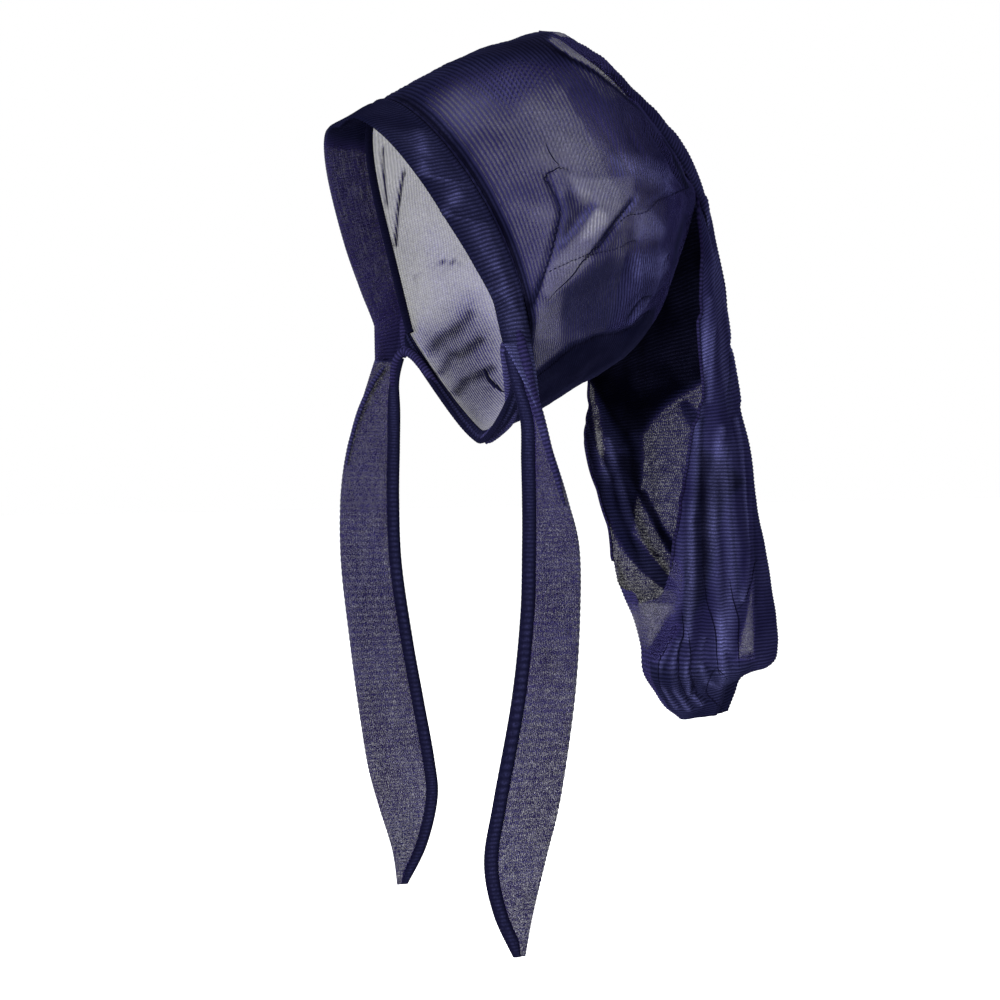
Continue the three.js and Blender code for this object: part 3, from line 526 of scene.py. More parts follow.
# the roomy bag, one layer of knit, open in front and below
crown = {
    # topY, topZ, lowY, lowZ, half, widest, upper, lower, left, bow for each ring from the opening back
    "rings": [
        (-40, 132, 22, -42, 76, 0.33, 1.9, 1.22, 1.9, 9),
        (-15, 148, 33, -40, 80, 0.38, 1.95, 1.4, 1.7, 7), (10, 162, 47, -33, 83, 0.42, 2, 1.6, 1.7, 4),
        (35, 172, 62, -25, 84, 0.45, 2, 1.7, 1.75, 2), (57, 178, 76, -17, 82, 0.47, 2, 1.8, 1.8, 0),
        (78, 162, 88, -11, 77, 0.48, 2.1, 1.9, 1.9, 0), (97, 147, 99, -3, 67, 0.5, 2.2, 2, 2, 0),
        (113, 132, 110, 6, 54, 0.52, 2.2, 2, 2, 0), (127, 118, 119, 17, 42, 0.58, 2.1, 2, 2, 0),
        (139, 105, 128, 42, 34, 0.62, 2, 2, 2, 0), (148, 94, 138, 66, 20, 0.6, 2, 2, 2, 0)],
    "tip": (0, 151, 80),
    "tipLength": 18,
    "tipCurve": 1.15,
    "tipSwell": 2.2,
    "inside": (0, 40, 60),  # outwards is away from this
    "ribPitch": 2.0,
    "rowsPerRib": 3,
    "stitchPitch": 1.25,
    "countedRow": 60,  # row of the mesh that stitches are counted on
    "around": 300,  # columns of the mesh
    "nearShare": 0.66,  # of them on the left
    "relief": 0.22,  # height of the ribs
    "edgeRows": 6,  # rows beside the band without relief
    # folds: width, height, from and to
    "folds": [
        (9, 3, [(38, 132, 94), (84, 22, 28)]), (14, -5, [(60, 86, 60), (78, 30, 4)]),
        (7, 3, [(34, 92, 128), (40, 120, 103)]), (10, -3, [(52, 101, 69), (50, 97, 24)]),
        (7, 2, [(84, 29, 82), (82, 15, 8)]), (10, 3, [(-45, 120, 80), (-84, 30, 20)]),
        (13, -4, [(-84, 35, 70), (-62, 95, 30)])],
    # unevenness of the surface and of the cover: height, size, seed
    "wrinkles": [(0.35, 26, 3), (0.12, 9, 4)],
    "uneven": [(0.03, 34, 7), (0.015, 13, 8)],
    "farCover": -0.12,
    "nearCover": 0.22,
    "bandShade": 1.2,  # painted shadow beside the band, over this many rows:
    "bandShadeRows": 7,
    "nearBlend": 30,  # x where the near side's cover is full
    "behindBlend": 20,  # width of the change from near side to far side
    "strengths": [(0.7, 0.8), (0.35, 0.65)],  # of lines and unevenness: far side, more on the near side
    # lines of x, y, z and outlines of y, z that more than one table uses
    "shared": {
        "mainFold": [(77, 12, 20), (81, 17, 38), (82, 23, 58), (82, 25, 68), (80, 24, 75), (76, 21, 85)],
        "mainTuck": [(76, 21, 85), (77, 24, 89), (78, 28, 91), (79, 32, 90)],
        "sideCrease": [(82, 67, 76), (83, 61, 69), (83, 54, 61), (83, 49, 54), (83, 45, 49)],
        "lowTuck": [(58, 79, 18), (62, 82, 23), (63, 86, 28), (58, 93, 30)],
        "lowCrest": [(55, 82, 16), (60, 86, 22), (60, 91, 27)],
        "farUpper": [(-59, 0, 107), (-64, -1, 92), (-69, -1, 67)],
        "farMiddle": [(-44, -19, 116), (-53, -15, 103), (-61, -10, 88)],
        "farShort": [(-77, 14, 48), (-79, 31, 59), (-79, 44, 60)],
        "topPatch": [(-60, 120), (-60, 190), (60, 200), (85, 175), (66, 150), (24, 156), (-11, 142),
            (-26, 132)],
        "palePatch": [(31, 86), (43, 85), (68, 88), (68, 79), (61, 72), (51, 60), (42, 48), (32, 42),
            (19, 38), (23, 44), (32, 53), (39, 62), (46, 71), (42, 76), (35, 77), (33, 82)],
        "brightPatch": [(42, 66), (45, 70), (51, 68), (51, 63), (43, 56), (37, 54)],
        "cornerPatch": [(70, 71), (82, 72), (98, 65), (96, 61), (72, 57)],
        "hemSeam": [(56, 25, -14), (57, 36, -6), (59, 46, 2), (58, 59, 7), (52, 79, 10), (54, 85, 15),
            (47, 98, 22)],
    },
    # creases: width, height, path
    "creases": [
        (2.0, -1.5, "mainFold"), (2.4, 1.0, [(81, 21, 36), (82, 27, 58), (82, 29, 68), (80, 28, 76)]),
        (1.8, -1.0, "mainTuck"), (1.8, -1.2, [(83, 44, 77), (83, 30, 59), (83, 23, 49)]),
        (2.0, 1.2, [(83, 48, 74), (83, 38, 62), (83, 28, 50)]), (1.8, -1.1, "sideCrease"),
        (2.0, 0.9, [(82, 71, 76), (83, 65, 69), (83, 58, 61), (83, 52, 53)]),
        (1.6, -0.9, [(80, 20, 23), (83, 32, 36), (83, 46, 50), (83, 59, 64), (82, 65, 68), (72, 90, 79),
            (59, 106, 85)]),
        (1.6, -0.9, [(82, 19, 37), (84, 37, 45), (81, 55, 50), (77, 74, 56)]), (2.0, -1.2, "lowTuck"),
        (2.0, 1.0, "lowCrest"), (2.4, -1.2, [(66, 82, 118), (65, 90, 109), (51, 109, 105)]),
        (2.4, -1.2, [(75, 71, 109), (75, 81, 97), (64, 99, 92), (44, 125, 90)]),
        (2.6, 1.2, [(75, 75, 112), (74, 86, 101), (62, 104, 97)]),
        (2.0, -0.8, [(74, 50, 117), (79, 58, 104), (80, 66, 93)]),
        (1.8, -1.2, [(54, 106, 52), (65, 84, 32), (63, 78, 24)]),
        (1.8, -1.0, [(44, 113, 40), (56, 92, 25)]), (2.6, 0.9, [(81, 61, 55), (70, 64, 35)]),
        (2.6, 0.9, [(75, 76, 52), (65, 83, 31)]),
        (2.2, -0.8, [(72, 32, 112), (75, 41, 110), (78, 46, 103)]),
        (2.2, -0.7, [(70, -2, 69), (72, 6, 74), (76, 16, 73)]), (1.6, -0.8, [(70, 14, -1), (61, 39, 1)]),
        (2.6, -1.8, [(63, 85, 120), (56, 103, 107), (43, 124, 94)]),
        (3.0, 1.6, [(69, 74, 121), (59, 93, 118), (48, 110, 108)]),
        (2.2, -1.2, [(60, 58, 7), (52, 80, 11), (47, 98, 22)]), (2.2, -1.8, "farUpper"),
        (1.8, -1.3, "farMiddle"), (1.6, -1.0, "farShort"),
        (3.2, -1.8, [(-64, 18, 6), (-72, 35, 19), (-76, 49, 30)]),
        (3.0, -1.6, [(-51, 19, -7), (-63, 37, 6), (-64, 50, 13)]),
        (3.0, -1.6, [(-37, 22, -19), (-49, 37, -9), (-49, 50, -4)])],
    # cover and painted shade: where folds and layers stop more of the light, or the cloth is stretched
    # and stops less; high values darken it with painted shade: side, softness, amount, outline of y, z
    "layers": [
        (1, 12, 0.62, "topPatch"), (-1, 9, 0.3, "topPatch"),
        (1, 28, 0.14, [(30, 175), (42, 160), (51, 148), (66, 138), (93, 130), (115, 110), (124, 94),
            (95, 82), (73, 90), (54, 90), (52, 110), (44, 127), (37, 139)]),
        (1, 2, -0.26, "palePatch"),
        (1, 2, 0.2, [(31, 80), (35, 72), (45, 71), (35, 59), (27, 50), (23, 49), (25, 62), (26, 73)]),
        (1, 2, -0.48, "brightPatch"), (1, 2, -0.2, [(36, 80), (42, 78), (43, 74), (39, 71), (37, 75)]),
        (1, 1.5, -0.22, [(17, 36), (37, 45), (44, 45), (28, 30), (21, 24), (16, 26), (17, 31)]),
        (1, 1.5, -0.08, [(13, 4), (36, 5), (29, 27), (21, 25), (15, 23)]),
        (1, 3, 0.1, [(29, 27), (43, 40), (54, 48), (71, 43), (72, 27), (68, 11), (37, 9)]),
        (1, 2, -0.1, "cornerPatch"), (1, 4, -0.08, [(60, 100), (112, 100), (108, 84), (62, 86)]),
        (1, 4, 0.12, [(54, 101), (59, 103), (65, 87), (57, 86)]),
        (1, 5, 0.5, [(125, 77), (117, 68), (114, 59), (114, 47)]),
        (1, 10, -0.08, [(30, 100), (60, 104), (84, 88), (80, 62), (60, 72), (44, 86)]),
        (1, 16, -0.11, [(20, 120), (60, 130), (80, 110), (40, 90), (14, 90)]),
        (1, 16, -0.09, [(37, 108), (16, 84), (16, 51), (58, 68)]),
        (1, 5, -0.07, [(11, 70), (21, 71), (22, 64), (14, 63)]),
        (1, 2, -0.82, [(43, 166), (58, 180), (72, 176), (90, 160), (98, 146), (92, 134), (79, 134),
            (72, 139), (63, 143), (55, 149), (48, 155), (44, 161)]),
        (-1, 40, 0.14, [(110, 220), (110, -80), (200, -80), (200, 220)]),
        (1, 4, 0.16, [(27, 29), (44, 42), (78, 50), (106, 56), (108, 45), (104, 30), (88, 21), (81, 15),
            (78, 12), (57, 8), (49, 5), (40, 0)]),
        (1, 2, 0.5, [(20, -14), (43, 3), (57, 8), (78, 12), (89, 19), (104, 26), (112, 10), (110, -10),
            (80, -20), (20, -60)]),
        (1, 4, -0.1, [(31, 133), (42, 138), (37, 127), (31, 126)]),
        (-1, 14, 0.24, [(16, 18), (33, 25), (51, 38), (62, 20), (56, -18), (41, -32), (23, -40),
            (18, -21)])],
    # narrow lines of doubled cloth, darkened with painted shade in the crease: width, amount, path
    "lines": [
        (1.5, 0.3, "mainFold"), (1.2, 0.2, "mainTuck"), (1.8, 0.25, "sideCrease"), (1.2, 0.2, "lowTuck"),
        (0.9, 0.3, "hemSeam"),
        (1.6, 0.5, [(33, 42, 165), (44, 44, 159), (51, 48, 153), (58, 55, 147), (62, 63, 141),
            (61, 72, 137), (59, 79, 132), (56, 88, 128), (53, 97, 121), (45, 110, 115), (45, 117, 105),
            (40, 127, 94)]),
        (1.6, 0.6, "farUpper"), (1.3, 0.5, "farMiddle"), (1.2, 0.55, "farShort"),
        (3.5, 0.26, [(-64, 18, 6), (-70, 29, 16), (-72, 35, 17), (-76, 49, 30)]),
        (3.0, 0.26, [(-51, 19, -7), (-60, 30, 4), (-63, 37, 3), (-64, 50, 13)]),
        (3.0, 0.28, [(-37, 22, -19), (-46, 32, -12), (-49, 37, -12), (-49, 50, -4)]),
        (2.6, 0.24, [(-70, 24, 26), (-72, 38, 30), (-73, 52, 44)]),
        (1.0, 0.3, [(-79, 25, 50), (-80, 32, 53), (-80, 39, 56), (-79, 48, 58)]),
        (2.2, 0.24, [(-40, 30, -24), (-42, 40, -20), (-40, 50, -18)])],
    # the lit side of a crease
    "glints": [
        (1.6, 0.5, [(80, 20, 34), (82, 27, 58), (82, 29, 68), (80, 27, 77)]),
        (1.4, 0.5, [(83, 50, 77), (83, 38, 65), (83, 27, 52)]),
        (1.6, 0.5, [(82, 71, 78), (83, 65, 71), (83, 58, 63)]),
        (1.2, 0.3, [(82, 65, 72), (78, 80, 77), (66, 98, 86)]), (1.6, 0.5, "lowCrest"),
        (1.4, 0.4, [(83, 38, 82), (82, 32, 79)])],
    # the far side and the stretched middle of the near side are smoother
    "smooth": [
        (1, 24, 0.45, [(-30, 95), (15, 112), (60, 132), (96, 104), (98, 40), (60, 5), (30, -20),
            (0, -20)]),
        (-1, 8, 0.6, [(-80, -80), (-80, 200), (200, 200), (200, -80)])],
    # where the ribs catch the light, outlined in the same way
    "shine": [
        (1, 9, 0.19, [(-22, 123), (-1, 136), (22, 142), (27, 139), (9, 125), (-15, 109), (-20, 111)]),
        (1, 5, 0.14, [(27, 29), (44, 42), (78, 50), (106, 56), (108, 45), (88, 21), (78, 12), (57, 8),
            (40, 0)]),
        (1, 5, 0.6, [(56, 98), (80, 99), (108, 96), (106, 85), (80, 87), (58, 89)]),
        (1, 3, 0.2, "palePatch"), (1, 3, 0.35, "brightPatch"), (1, 4, 0.8, "cornerPatch"),
        (1, 4, 0.5, [(73, 49), (105, 54), (108, 47), (99, 40), (77, 38)]),
        (1, 5, 0.12, [(12, 12), (15, 21), (26, 29), (39, 0), (24, -10), (17, -2)])],
}


def crownPoints(places, angles):
    rows = rowsAt(crown["rings"], places)
    topY, topZ, lowY, lowZ, half, widest, upper, lower, left, bow = [column[:, None] for column in rows.T]
    height = np.hypot(topY - lowY, topZ - lowZ)
    upY, upZ = (topY - lowY) / height, (topZ - lowZ) / height
    sine, cosine = np.sin(np.radians(angles))[None, :], np.cos(np.radians(angles))[None, :]
    power = 2 / np.where(sine >= 0, upper, np.where(cosine > 0, left, lower))
    reach = np.where(sine >= 0, 1 - widest, widest) * height
    x = half * np.sign(cosine) * np.abs(cosine) ** power
    q = widest * height + reach * np.sign(sine) * np.abs(sine) ** power
    behind = bow * np.sin(np.pi * q / height)
    return np.stack([x, lowY + upY * q + upZ * behind, lowZ + upZ * q - upY * behind], axis=2)


def crownShares():
    # the near side, which shows its folds, gets more of the columns
    nearCount = round(crown["around"] * crown["nearShare"])
    farCount = crown["around"] - nearCount
    return np.concatenate([np.linspace(0, 0.5, nearCount + 1), np.linspace(0.5, 1, farCount + 1)[1:]])


def crownCloth():
    last = len(crown["rings"]) - 1
    coarse, fineAngles = np.linspace(-90, 270, 61), np.linspace(-90, 270, 721)
    _, length = evenPlaces(lambda places: crownPoints(places, coarse), last, 10)
    ribs = round((length + crown["tipLength"]) / crown["ribPitch"])
    mainRibs = round(ribs * length / (length + crown["tipLength"]))
    places, _ = evenPlaces(lambda at: crownPoints(at, coarse), last, mainRibs * crown["rowsPerRib"] + 1)
    grid = np.stack([evenRow(row, 0, crownShares())[:-1] for row in crownPoints(places, fineAngles)])
    # the last rings draw in to the tip
    draw = np.linspace(0, 1, (ribs - mainRibs) * crown["rowsPerRib"] + 1)[1:-1]
    inward = [grid[-1] + (np.array(crown["tip"]) - grid[-1]) * share ** crown["tipCurve"]
              + np.array([0, crown["tipSwell"], 0]) * np.sin(math.pi * share) for share in draw]
    grid = np.concatenate([grid, np.array(inward)])
    normal = gridNormals(grid, True)
    normal *= np.sign((normal * (grid - np.array(crown["inside"]))).sum(axis=2).mean())
    grid = grid + normal * lineSum(grid, crown["folds"])[..., None]
    rows = np.arange(len(grid))
    v = rows / crown["rowsPerRib"]
    relief = crown["relief"] * ribWave(v)[:, None] * (1 - patchSum(grid, crown["smooth"]))
    edge = np.clip(rows / crown["edgeRows"], 0, 1)[:, None]
    wrinkle = noiseSum(grid, crown["wrinkles"])
    creases = lineSum(grid, crown["creases"], crown["shared"])
    grid = grid + normal * ((relief + wrinkle + creases) * edge)[..., None]
    return grid, v


crownGrid, crownV = crownCloth()
crownU = crownShares() * round(runAlong(crownGrid[crown["countedRow"]])[-1] / crown["stitchPitch"])
crownUv = np.stack(np.broadcast_arrays(crownU[None, :], crownV[:, None]), axis=-1)
nearSide = np.clip(crownGrid[..., 0] / crown["nearBlend"], 0, 1)
shared = crown["shared"]
lineStrength, unevenStrength = [far + more * nearSide for far, more in crown["strengths"]]
crownCoverAndShade = (patchSum(crownGrid, crown["layers"], shared)
               + lineStrength * lineSum(crownGrid, crown["lines"], shared))
crownCoverAndShade += unevenStrength * noiseSum(crownGrid, crown["uneven"])
# thinner on the far side, and a painted shadow beside the band on the near side
besideBand = np.exp(-(np.arange(len(crownGrid)) / crown["bandShadeRows"]) ** 2)[:, None]
crownCoverAndShade += crown["farCover"] + nearSide * (crown["nearCover"] + crown["bandShade"] * besideBand)
crownShine = patchSum(crownGrid, crown["shine"], shared) + lineSum(crownGrid, crown["glints"], shared)
crownBehind = np.clip(0.5 - crownGrid[..., 0] / crown["behindBlend"], 0, 1)
crownPiece = clothMesh("crownCloth", crownGrid, crownUv, crownKnit,
                       {"layers": crownCoverAndShade, "shine": crownShine, "behind": crownBehind}, closed=True)
crownTree = BVHTree.FromObject(crownPiece, bpy.context.evaluated_depsgraph_get())
print("crown ready", crownGrid.shape)


def framePoint(point):
    return Vector(((np.array(point) - seat) / 1000).tolist())


def nearestCloth(point, tree, inside):
    # the nearest point of a piece of cloth, and the cloth's outward normal there
    near, normal, _, _ = tree.find_nearest(framePoint(point))
    return near, normal if normal.dot(near - framePoint(inside)) >= 0 else -normal


def onCloth(points, lift, count, tree=crownTree, inside=crown["inside"]):
    # a smooth path through the points, laid on the cloth and lifted off it
    placed = []
    for point in alongPath(points, count):
        near, normal = nearestCloth(point, tree, inside)
        placed.append(np.array(near + normal * lift / 1000) * 1000 + seat)
    return np.array(placed)


# the double strip round the front opening, folded at its front edge
band = {
    # angle on the crown's first ring, width, flare of the fold
    "rows": [
        (5, 20, 5), (14, 23, 4), (26, 26, 3), (40, 27, 3), (56, 27.5, 3), (73, 28, 0), (90, 28, -7)],
    "openingMiddle": (0.0, 0.0, 40.0),
    "start": -1.5,  # from the crown's first ring forward
    "sideInset": 0.6,
    "foldInset": 0.3,
    "sections": 161,
    "flareCurve": 1.5,
    "thick": 2.3,
    "roundness": 0.35,
    "across": 16,
    "stitches": 44,  # counted round both faces
    "ribPitch": 2.1,
    "rowsPerRib": 5,
    "relief": (0.09, 0.27),  # plain, more on the swell
    "joinShares": [0, 0.35, 0.7],  # from the tie's top to the band's end
    "joinDrop": 0.8,
    "wrinkles": [(0.35, 18, 11)],
    "edgeRolls": [(0.07, 0.05, 0.7), (0.17, 0.05, -0.5)],  # place across, width, height
    "blend": 20,  # the near side is full past this x, and the far side starts past minus it
    "swellTop": 112,
    "swellFade": 7,
    "swellHeight": 0.9,
    "swellShine": (0.24, 0.14, 9, 5),  # amount, unevenness, its size and seed
    "plainShine": 0.14,
    "nearCover": 0.6,
    "farCover": -0.02,
    "farTop": (0.5, 112, 6),  # more cover, above z, over this height
    "farLow": (0.4, 45),  # more cover, below z
    "foldShare": 0.05,  # of the width
    "foldCoverAndShade": (0.2, 0.7),  # painted shade and more cover along the fold: far side, near side
    # the lit swell on the near side: z, place across, width
    "swell": [
        (0, 0.5, 0.3), (15, 0.5, 0.3), (27, 0.55, 0.28), (44, 0.5, 0.22), (61, 0.35, 0.16),
        (63, 0.88, 0.12), (65, 0.88, 0.12), (71, 0.65, 0.15), (78, 0.4, 0.14), (81, 0.3, 0.14),
        (84, 0.85, 0.1), (91, 0.72, 0.12), (99, 0.5, 0.13), (107, 0.28, 0.12), (114, 0.2, 0.12)],
}


def openingForward():
    topY, topZ, lowY, lowZ = crown["rings"][0][:4]
    height = math.hypot(topY - lowY, topZ - lowZ)
    return np.array([0, -(topZ - lowZ) / height, (topY - lowY) / height])


def bandMiddle():
    # the middle of the band's cloth, from the left joint over the top to the right one
    forward = openingForward()
    share = np.linspace(0, 1, band["across"])
    lines = []
    for turn in np.linspace(-1, 1, band["sections"]):
        angle = 90 - (90 - band["rows"][0][0]) * abs(turn)
        _, width, flare = rowsWhere(band["rows"], 0, [angle])[0]
        seam = crownPoints([0], [angle])[0, 0]
        seam[0] = (seam[0] - band["sideInset"]) * (1 if turn < 0 else -1)
        outward = seam - band["openingMiddle"]
        outward -= forward * (outward @ forward)
        outward /= np.linalg.norm(outward)
        reach = band["start"] + (width - band["foldInset"]) * share
        flared = (flare * share ** band["flareCurve"])[:, None]
        lines.append(seam + forward * reach[:, None] + outward * flared)
    return lines


# the band's two ends, pressed flat and bound along one edge
ties = {
    # z, bound edge x y, middle x y, folded edge x y
    "left": [
        (1, 66, 1, 82, 8, 83, -7), (-17, 71, 3, 83, 11, 88, 1), (-37, 74, 7, 81, 14, 88, 12),
        (-57, 77, 6, 80, 14, 86, 21), (-77, 78, 6, 80, 17, 84, 29), (-101, 78, 6, 80, 21, 83, 36),
        (-135, 78, 5, 80, 21, 82, 37), (-177, 78, 0, 80, 16, 82, 34), (-226, 78, -10, 80, 7, 82, 26),
        (-255, 78, -15, 80, 1, 82, 18), (-281, 78, -10, 79, 0, 80, 12), (-304, 78, 1, 78, 4, 78, 8)],
    "right": [
        (1, -66, 1, -82, 6, -83, -9), (-12, -70, 1, -80, -3, -84, -13), (-30, -73, 3, -79, -7, -84, -19),
        (-51, -76, 4, -79, -11, -84, -26), (-80, -77, 4, -80, -13, -84, -30),
        (-118, -78, 6, -80, -12, -83, -30), (-163, -78, 13, -80, -6, -82, -25),
        (-199, -78, 20, -80, 0, -82, -20), (-235, -78, 27, -80, 7, -82, -14),
        (-258, -78, 29, -80, 10, -81, -8), (-285, -78, 22, -79, 10, -79, 0),
        (-306, -78, 10, -78, 6, -78, 3)],
    "bindingWidth": 7,
    "boundShare": 0.55,  # a binding takes at most this share of its tie
    "lap": 0.6,
    "thick": 1.5,
    "bindingThick": 2.7,
    "rows": 420,
    "across": 22,
    "fineAcross": 41,
    "bindingAcross": 12,
    "stitches": 56,  # counted round both faces
    "bindingStitches": 12,
    "ribPitch": 2.6,
    "relief": 0.14,
    "bindingPitch": 2.2,
    "bindingRelief": 0.06,
    "ripple": {"left": (0.5, 30, 21), "right": (0.5, 30, 22)},  # height, size, seed
    "rollReach": {"left": 0.30, "right": 0.02},  # share of the tie that its fold rolls over
    "rollEdge": 5,  # how sharply the roll ends
    "rollCover": 0.5,
    "rollShine": 0.4,
    "bindingShine": (0.2, 0.1, 0.4),  # amount, place across, width
}


def tieSections(rows):
    # each cross-section of a tie as a fine line from the bound edge to the fold
    sections = []
    for z, *corners in rowsAt(rows, np.linspace(0, len(rows) - 1, ties["rows"])):
        corners = [(x, y, z) for x, y in zip(corners[::2], corners[1::2])]
        sections.append(rowsAt(corners, np.linspace(0, 2, ties["fineAcross"])))
    return np.array(sections)


def tieHalf(sections, part, across):
    # the stretch of each cross-section that the cloth or the binding takes
    lines = []
    for line in sections:
        length = runAlong(line)[-1]
        bound = min(ties["bindingWidth"], ties["boundShare"] * length)
        start, end = (0, bound + ties["lap"]) if part == "binding" else (bound - ties["lap"], length)
        lines.append(evenRow(line, across, np.linspace(start / length, min(end / length, 1), across)))
    return np.array(lines)


def addBand():
    lines = bandMiddle()
    start, end = [], []
    share = np.linspace(0, 1, band["across"])
    for side, into, goal in (("left", start, lines[0]), ("right", end, lines[-1])):
        z, *corners = ties[side][0]
        top = rowsAt([(x, y, z) for x, y in zip(corners[::2], corners[1::2])], np.linspace(0, 2, 81))
        outer = evenRow(top, band["across"], 0.5 + share / 2) - np.array([0, 0, band["joinDrop"]])
        into.extend(outer + (goal - outer) * part for part in band["joinShares"])
    middle = np.array(start + list(lines) + end[::-1])
    run = runAlong(middle[:, band["across"] // 2])
    ribs = round(run[-1] / band["ribPitch"])
    count = ribs * band["rowsPerRib"] + 1
    middle = sectionsAt(middle, run, np.linspace(0, run[-1], count))
    ring = stripRing(middle, band["thick"], band["roundness"])
    normal = outwardNormals(ring)
    across = outAndBack(share)
    x, z = ring[..., 0], ring[..., 2]
    near = np.clip(x / band["blend"], 0, 1) * np.clip((band["swellTop"] - z) / band["swellFade"], 0, 1)
    swellZ, swellAt, swellWidth = np.array(band["swell"]).T
    swell = (across - np.interp(z, swellZ, swellAt)) / np.interp(z, swellZ, swellWidth)
    swell = np.exp(-(swell ** 2)) * near
    bulge = np.sin(math.pi * across)
    plain, more = band["relief"]
    lift = ribWave(np.arange(count) / band["rowsPerRib"])[:, None] * (plain + more * swell)
    lift = lift + noiseSum(ring, band["wrinkles"]) * bulge + band["swellHeight"] * swell
    for place, spread, height in band["edgeRolls"]:
        lift = lift + height * np.exp(-(((across - place) / spread) ** 2))
    ring = ring + normal * lift[..., None]
    x, z = ring[..., 0], ring[..., 2]
    swellShine, uneven, size, seed = band["swellShine"]
    shine = swell * (swellShine + uneven * np.clip(softNoise(ring, size, seed), -1, 1))
    shine = shine + band["plainShine"] * near * bulge
    # the far side is sheer between the top and the joint, and the fold is darkened with painted shade
    (top, topZ, topFade), (low, lowZ) = band["farTop"], band["farLow"]
    far = band["farCover"] + top * np.clip((z - topZ) / topFade, 0, 1)
    far = far + low * np.clip(1 - z / lowZ, 0, 1) * (1 - across)
    farSide = x < -band["blend"]
    layers = np.where(farSide, far, band["nearCover"])
    layers = layers + np.where(farSide, *band["foldCoverAndShade"]) * (across < band["foldShare"])
    values = {"layers": layers, "shine": shine}
    return stripMesh("browBand", ring, ribs, band["stitches"], bandKnit, values)


bandPiece = addBand()
print("brow band ready")

# rolled folds where the ties leave the band, and the binding's arch from the far tie to the nape:
# radii along it, shine, path
rolls = {
    "leftTieRoll": ((2.2, 2.8, 2.8, 2.4, 1.9, 1.4, 0.9), 0.04, [(84, 1, 7), (86, 4, -8), (86, 7, -22),
        (86, 12, -36), (86, 17, -52), (85, 22, -66), (84, 27, -80)]),
    "rightTieRoll": ((1.0, 1.5, 1.5, 1.2, 0.8), 0.12, [(-80, -4, -3), (-80, -12, -14), (-81, -19, -29),
        (-82, -24, -46), (-82, -27, -61)]),
    "napeArch": ((2.0, 2.4, 2.6, 2.6, 2.4, 2.0), 0.0, [(-74, -1, -16), (-73, -1, -6), (-70, 0, 1),
        (-66, 3, 5), (-60, 6, 2), (-54, 8, -3), (-48, 11, -10), (-42, 15, -19)]),
    "napeLoop": ((1.7, 1.9, 2.0, 2.0, 2.0, 1.9, 1.7), 0.14, [(3, 19, -47), (20, 18, -41), (35, 18, -34),
        (47, 14, -26), (59, 7, -14), (66, 2, -3), (67, 2, 1), (67, 5, 2), (66, 7, -2), (59, 11, -14),
        (47, 18, -26), (32, 23, -36), (13, 25, -43), (3, 22, -48)]),
    "napeInner": ((1.7, 2.1, 2.1, 1.9, 1.4), 0.12, [(67, 10, 1), (59, 15, -14), (47, 21, -26),
        (40, 23, -31)]),
    "farJoint": ((1.6, 2.0, 2.2, 2.2, 1.9), 0.0, [(-77, 5, 36), (-76.5, 6, 24), (-75, 6, 15),
        (-72, 5.5, 7), (-69, 4, 2)]),
}
rollRelief = {"ribPitch": 2.1, "rowsPerRib": 5, "height": 0.06, "taperSteps": 8, "thinnest": 0.3}


def addRoll(name, radii, shine, path):
    line = alongPath(path, 400)
    ribs = round(runAlong(line)[-1] / rollRelief["ribPitch"])
    line = evenRow(line, ribs * rollRelief["rowsPerRib"] + 1)
    steps = np.arange(len(line))
    size = np.interp(steps / steps[-1], np.linspace(0, 1, len(radii)), radii)
    taper = np.minimum(steps, steps[::-1]) / rollRelief["taperSteps"]
    size = size * np.clip(taper, rollRelief["thinnest"], 1) ** 0.5
    size = size * (1 + rollRelief["height"] * ribWave(steps / rollRelief["rowsPerRib"]))
    return tube(name, line, size, hemKnit, sides=20, ribs=ribs, shine=shine)


rollPieces = {name: addRoll(name, *details) for name, details in rolls.items()}
print("rolled folds ready")


def addTie(side):
    sections = tieSections(ties[side])
    length = runAlong(sections[:, ties["fineAcross"] // 2])[-1]
    ribs = round(length / ties["ribPitch"])
    cloth = tieHalf(sections, "cloth", ties["across"])
    down = np.linspace(0, 1, len(cloth))[:, None]
    share = np.linspace(0, 1, ties["across"])
    height, size, seed = ties["ripple"][side]
    ripple = height * softNoise(cloth, size, seed) * np.sin(math.pi * share)
    cloth = cloth + gridNormals(cloth, False) * ripple[..., None]
    ring = stripRing(cloth, ties["thick"], roundness=0.3)
    relief = ties["relief"] * ribWave(np.linspace(0, ribs, len(ring)))
    ring = ring + outwardNormals(ring) * relief[:, None, None]
    # the fold rolls over the outside near the top, so the cloth is thicker there
    fade = np.clip((outAndBack(share) - down / ties["rollReach"][side]) * ties["rollEdge"] + 0.8, 0, 1)
    values = {"layers": ties["rollCover"] * fade, "shine": ties["rollShine"] * fade}
    cloth = stripMesh(side + "TieCloth", ring, ribs, ties["stitches"], tieKnit, values)
    across = ties["bindingAcross"]
    ring = stripRing(tieHalf(sections, "binding", across), ties["bindingThick"], roundness=0.8)
    ribs = round(length / ties["bindingPitch"])
    relief = ties["bindingRelief"] * ribWave(np.linspace(0, ribs, len(ring)))
    ring = ring + outwardNormals(ring) * relief[:, None, None]
    amount, place, spread = ties["bindingShine"]
    shine = amount * np.exp(-(((np.abs(outAndBack(np.linspace(-1, 1, across))) - place) / spread) ** 2))
    binding = stripMesh(side + "TieBinding", ring, ribs, ties["bindingStitches"], bindingKnit,
                        {"shine": shine})
    return cloth, binding, length


leftTie, leftBinding, leftLength = addTie("left")
rightTie, rightBinding, rightLength = addTie("right")
print("ties ready", round(leftLength), round(rightLength))


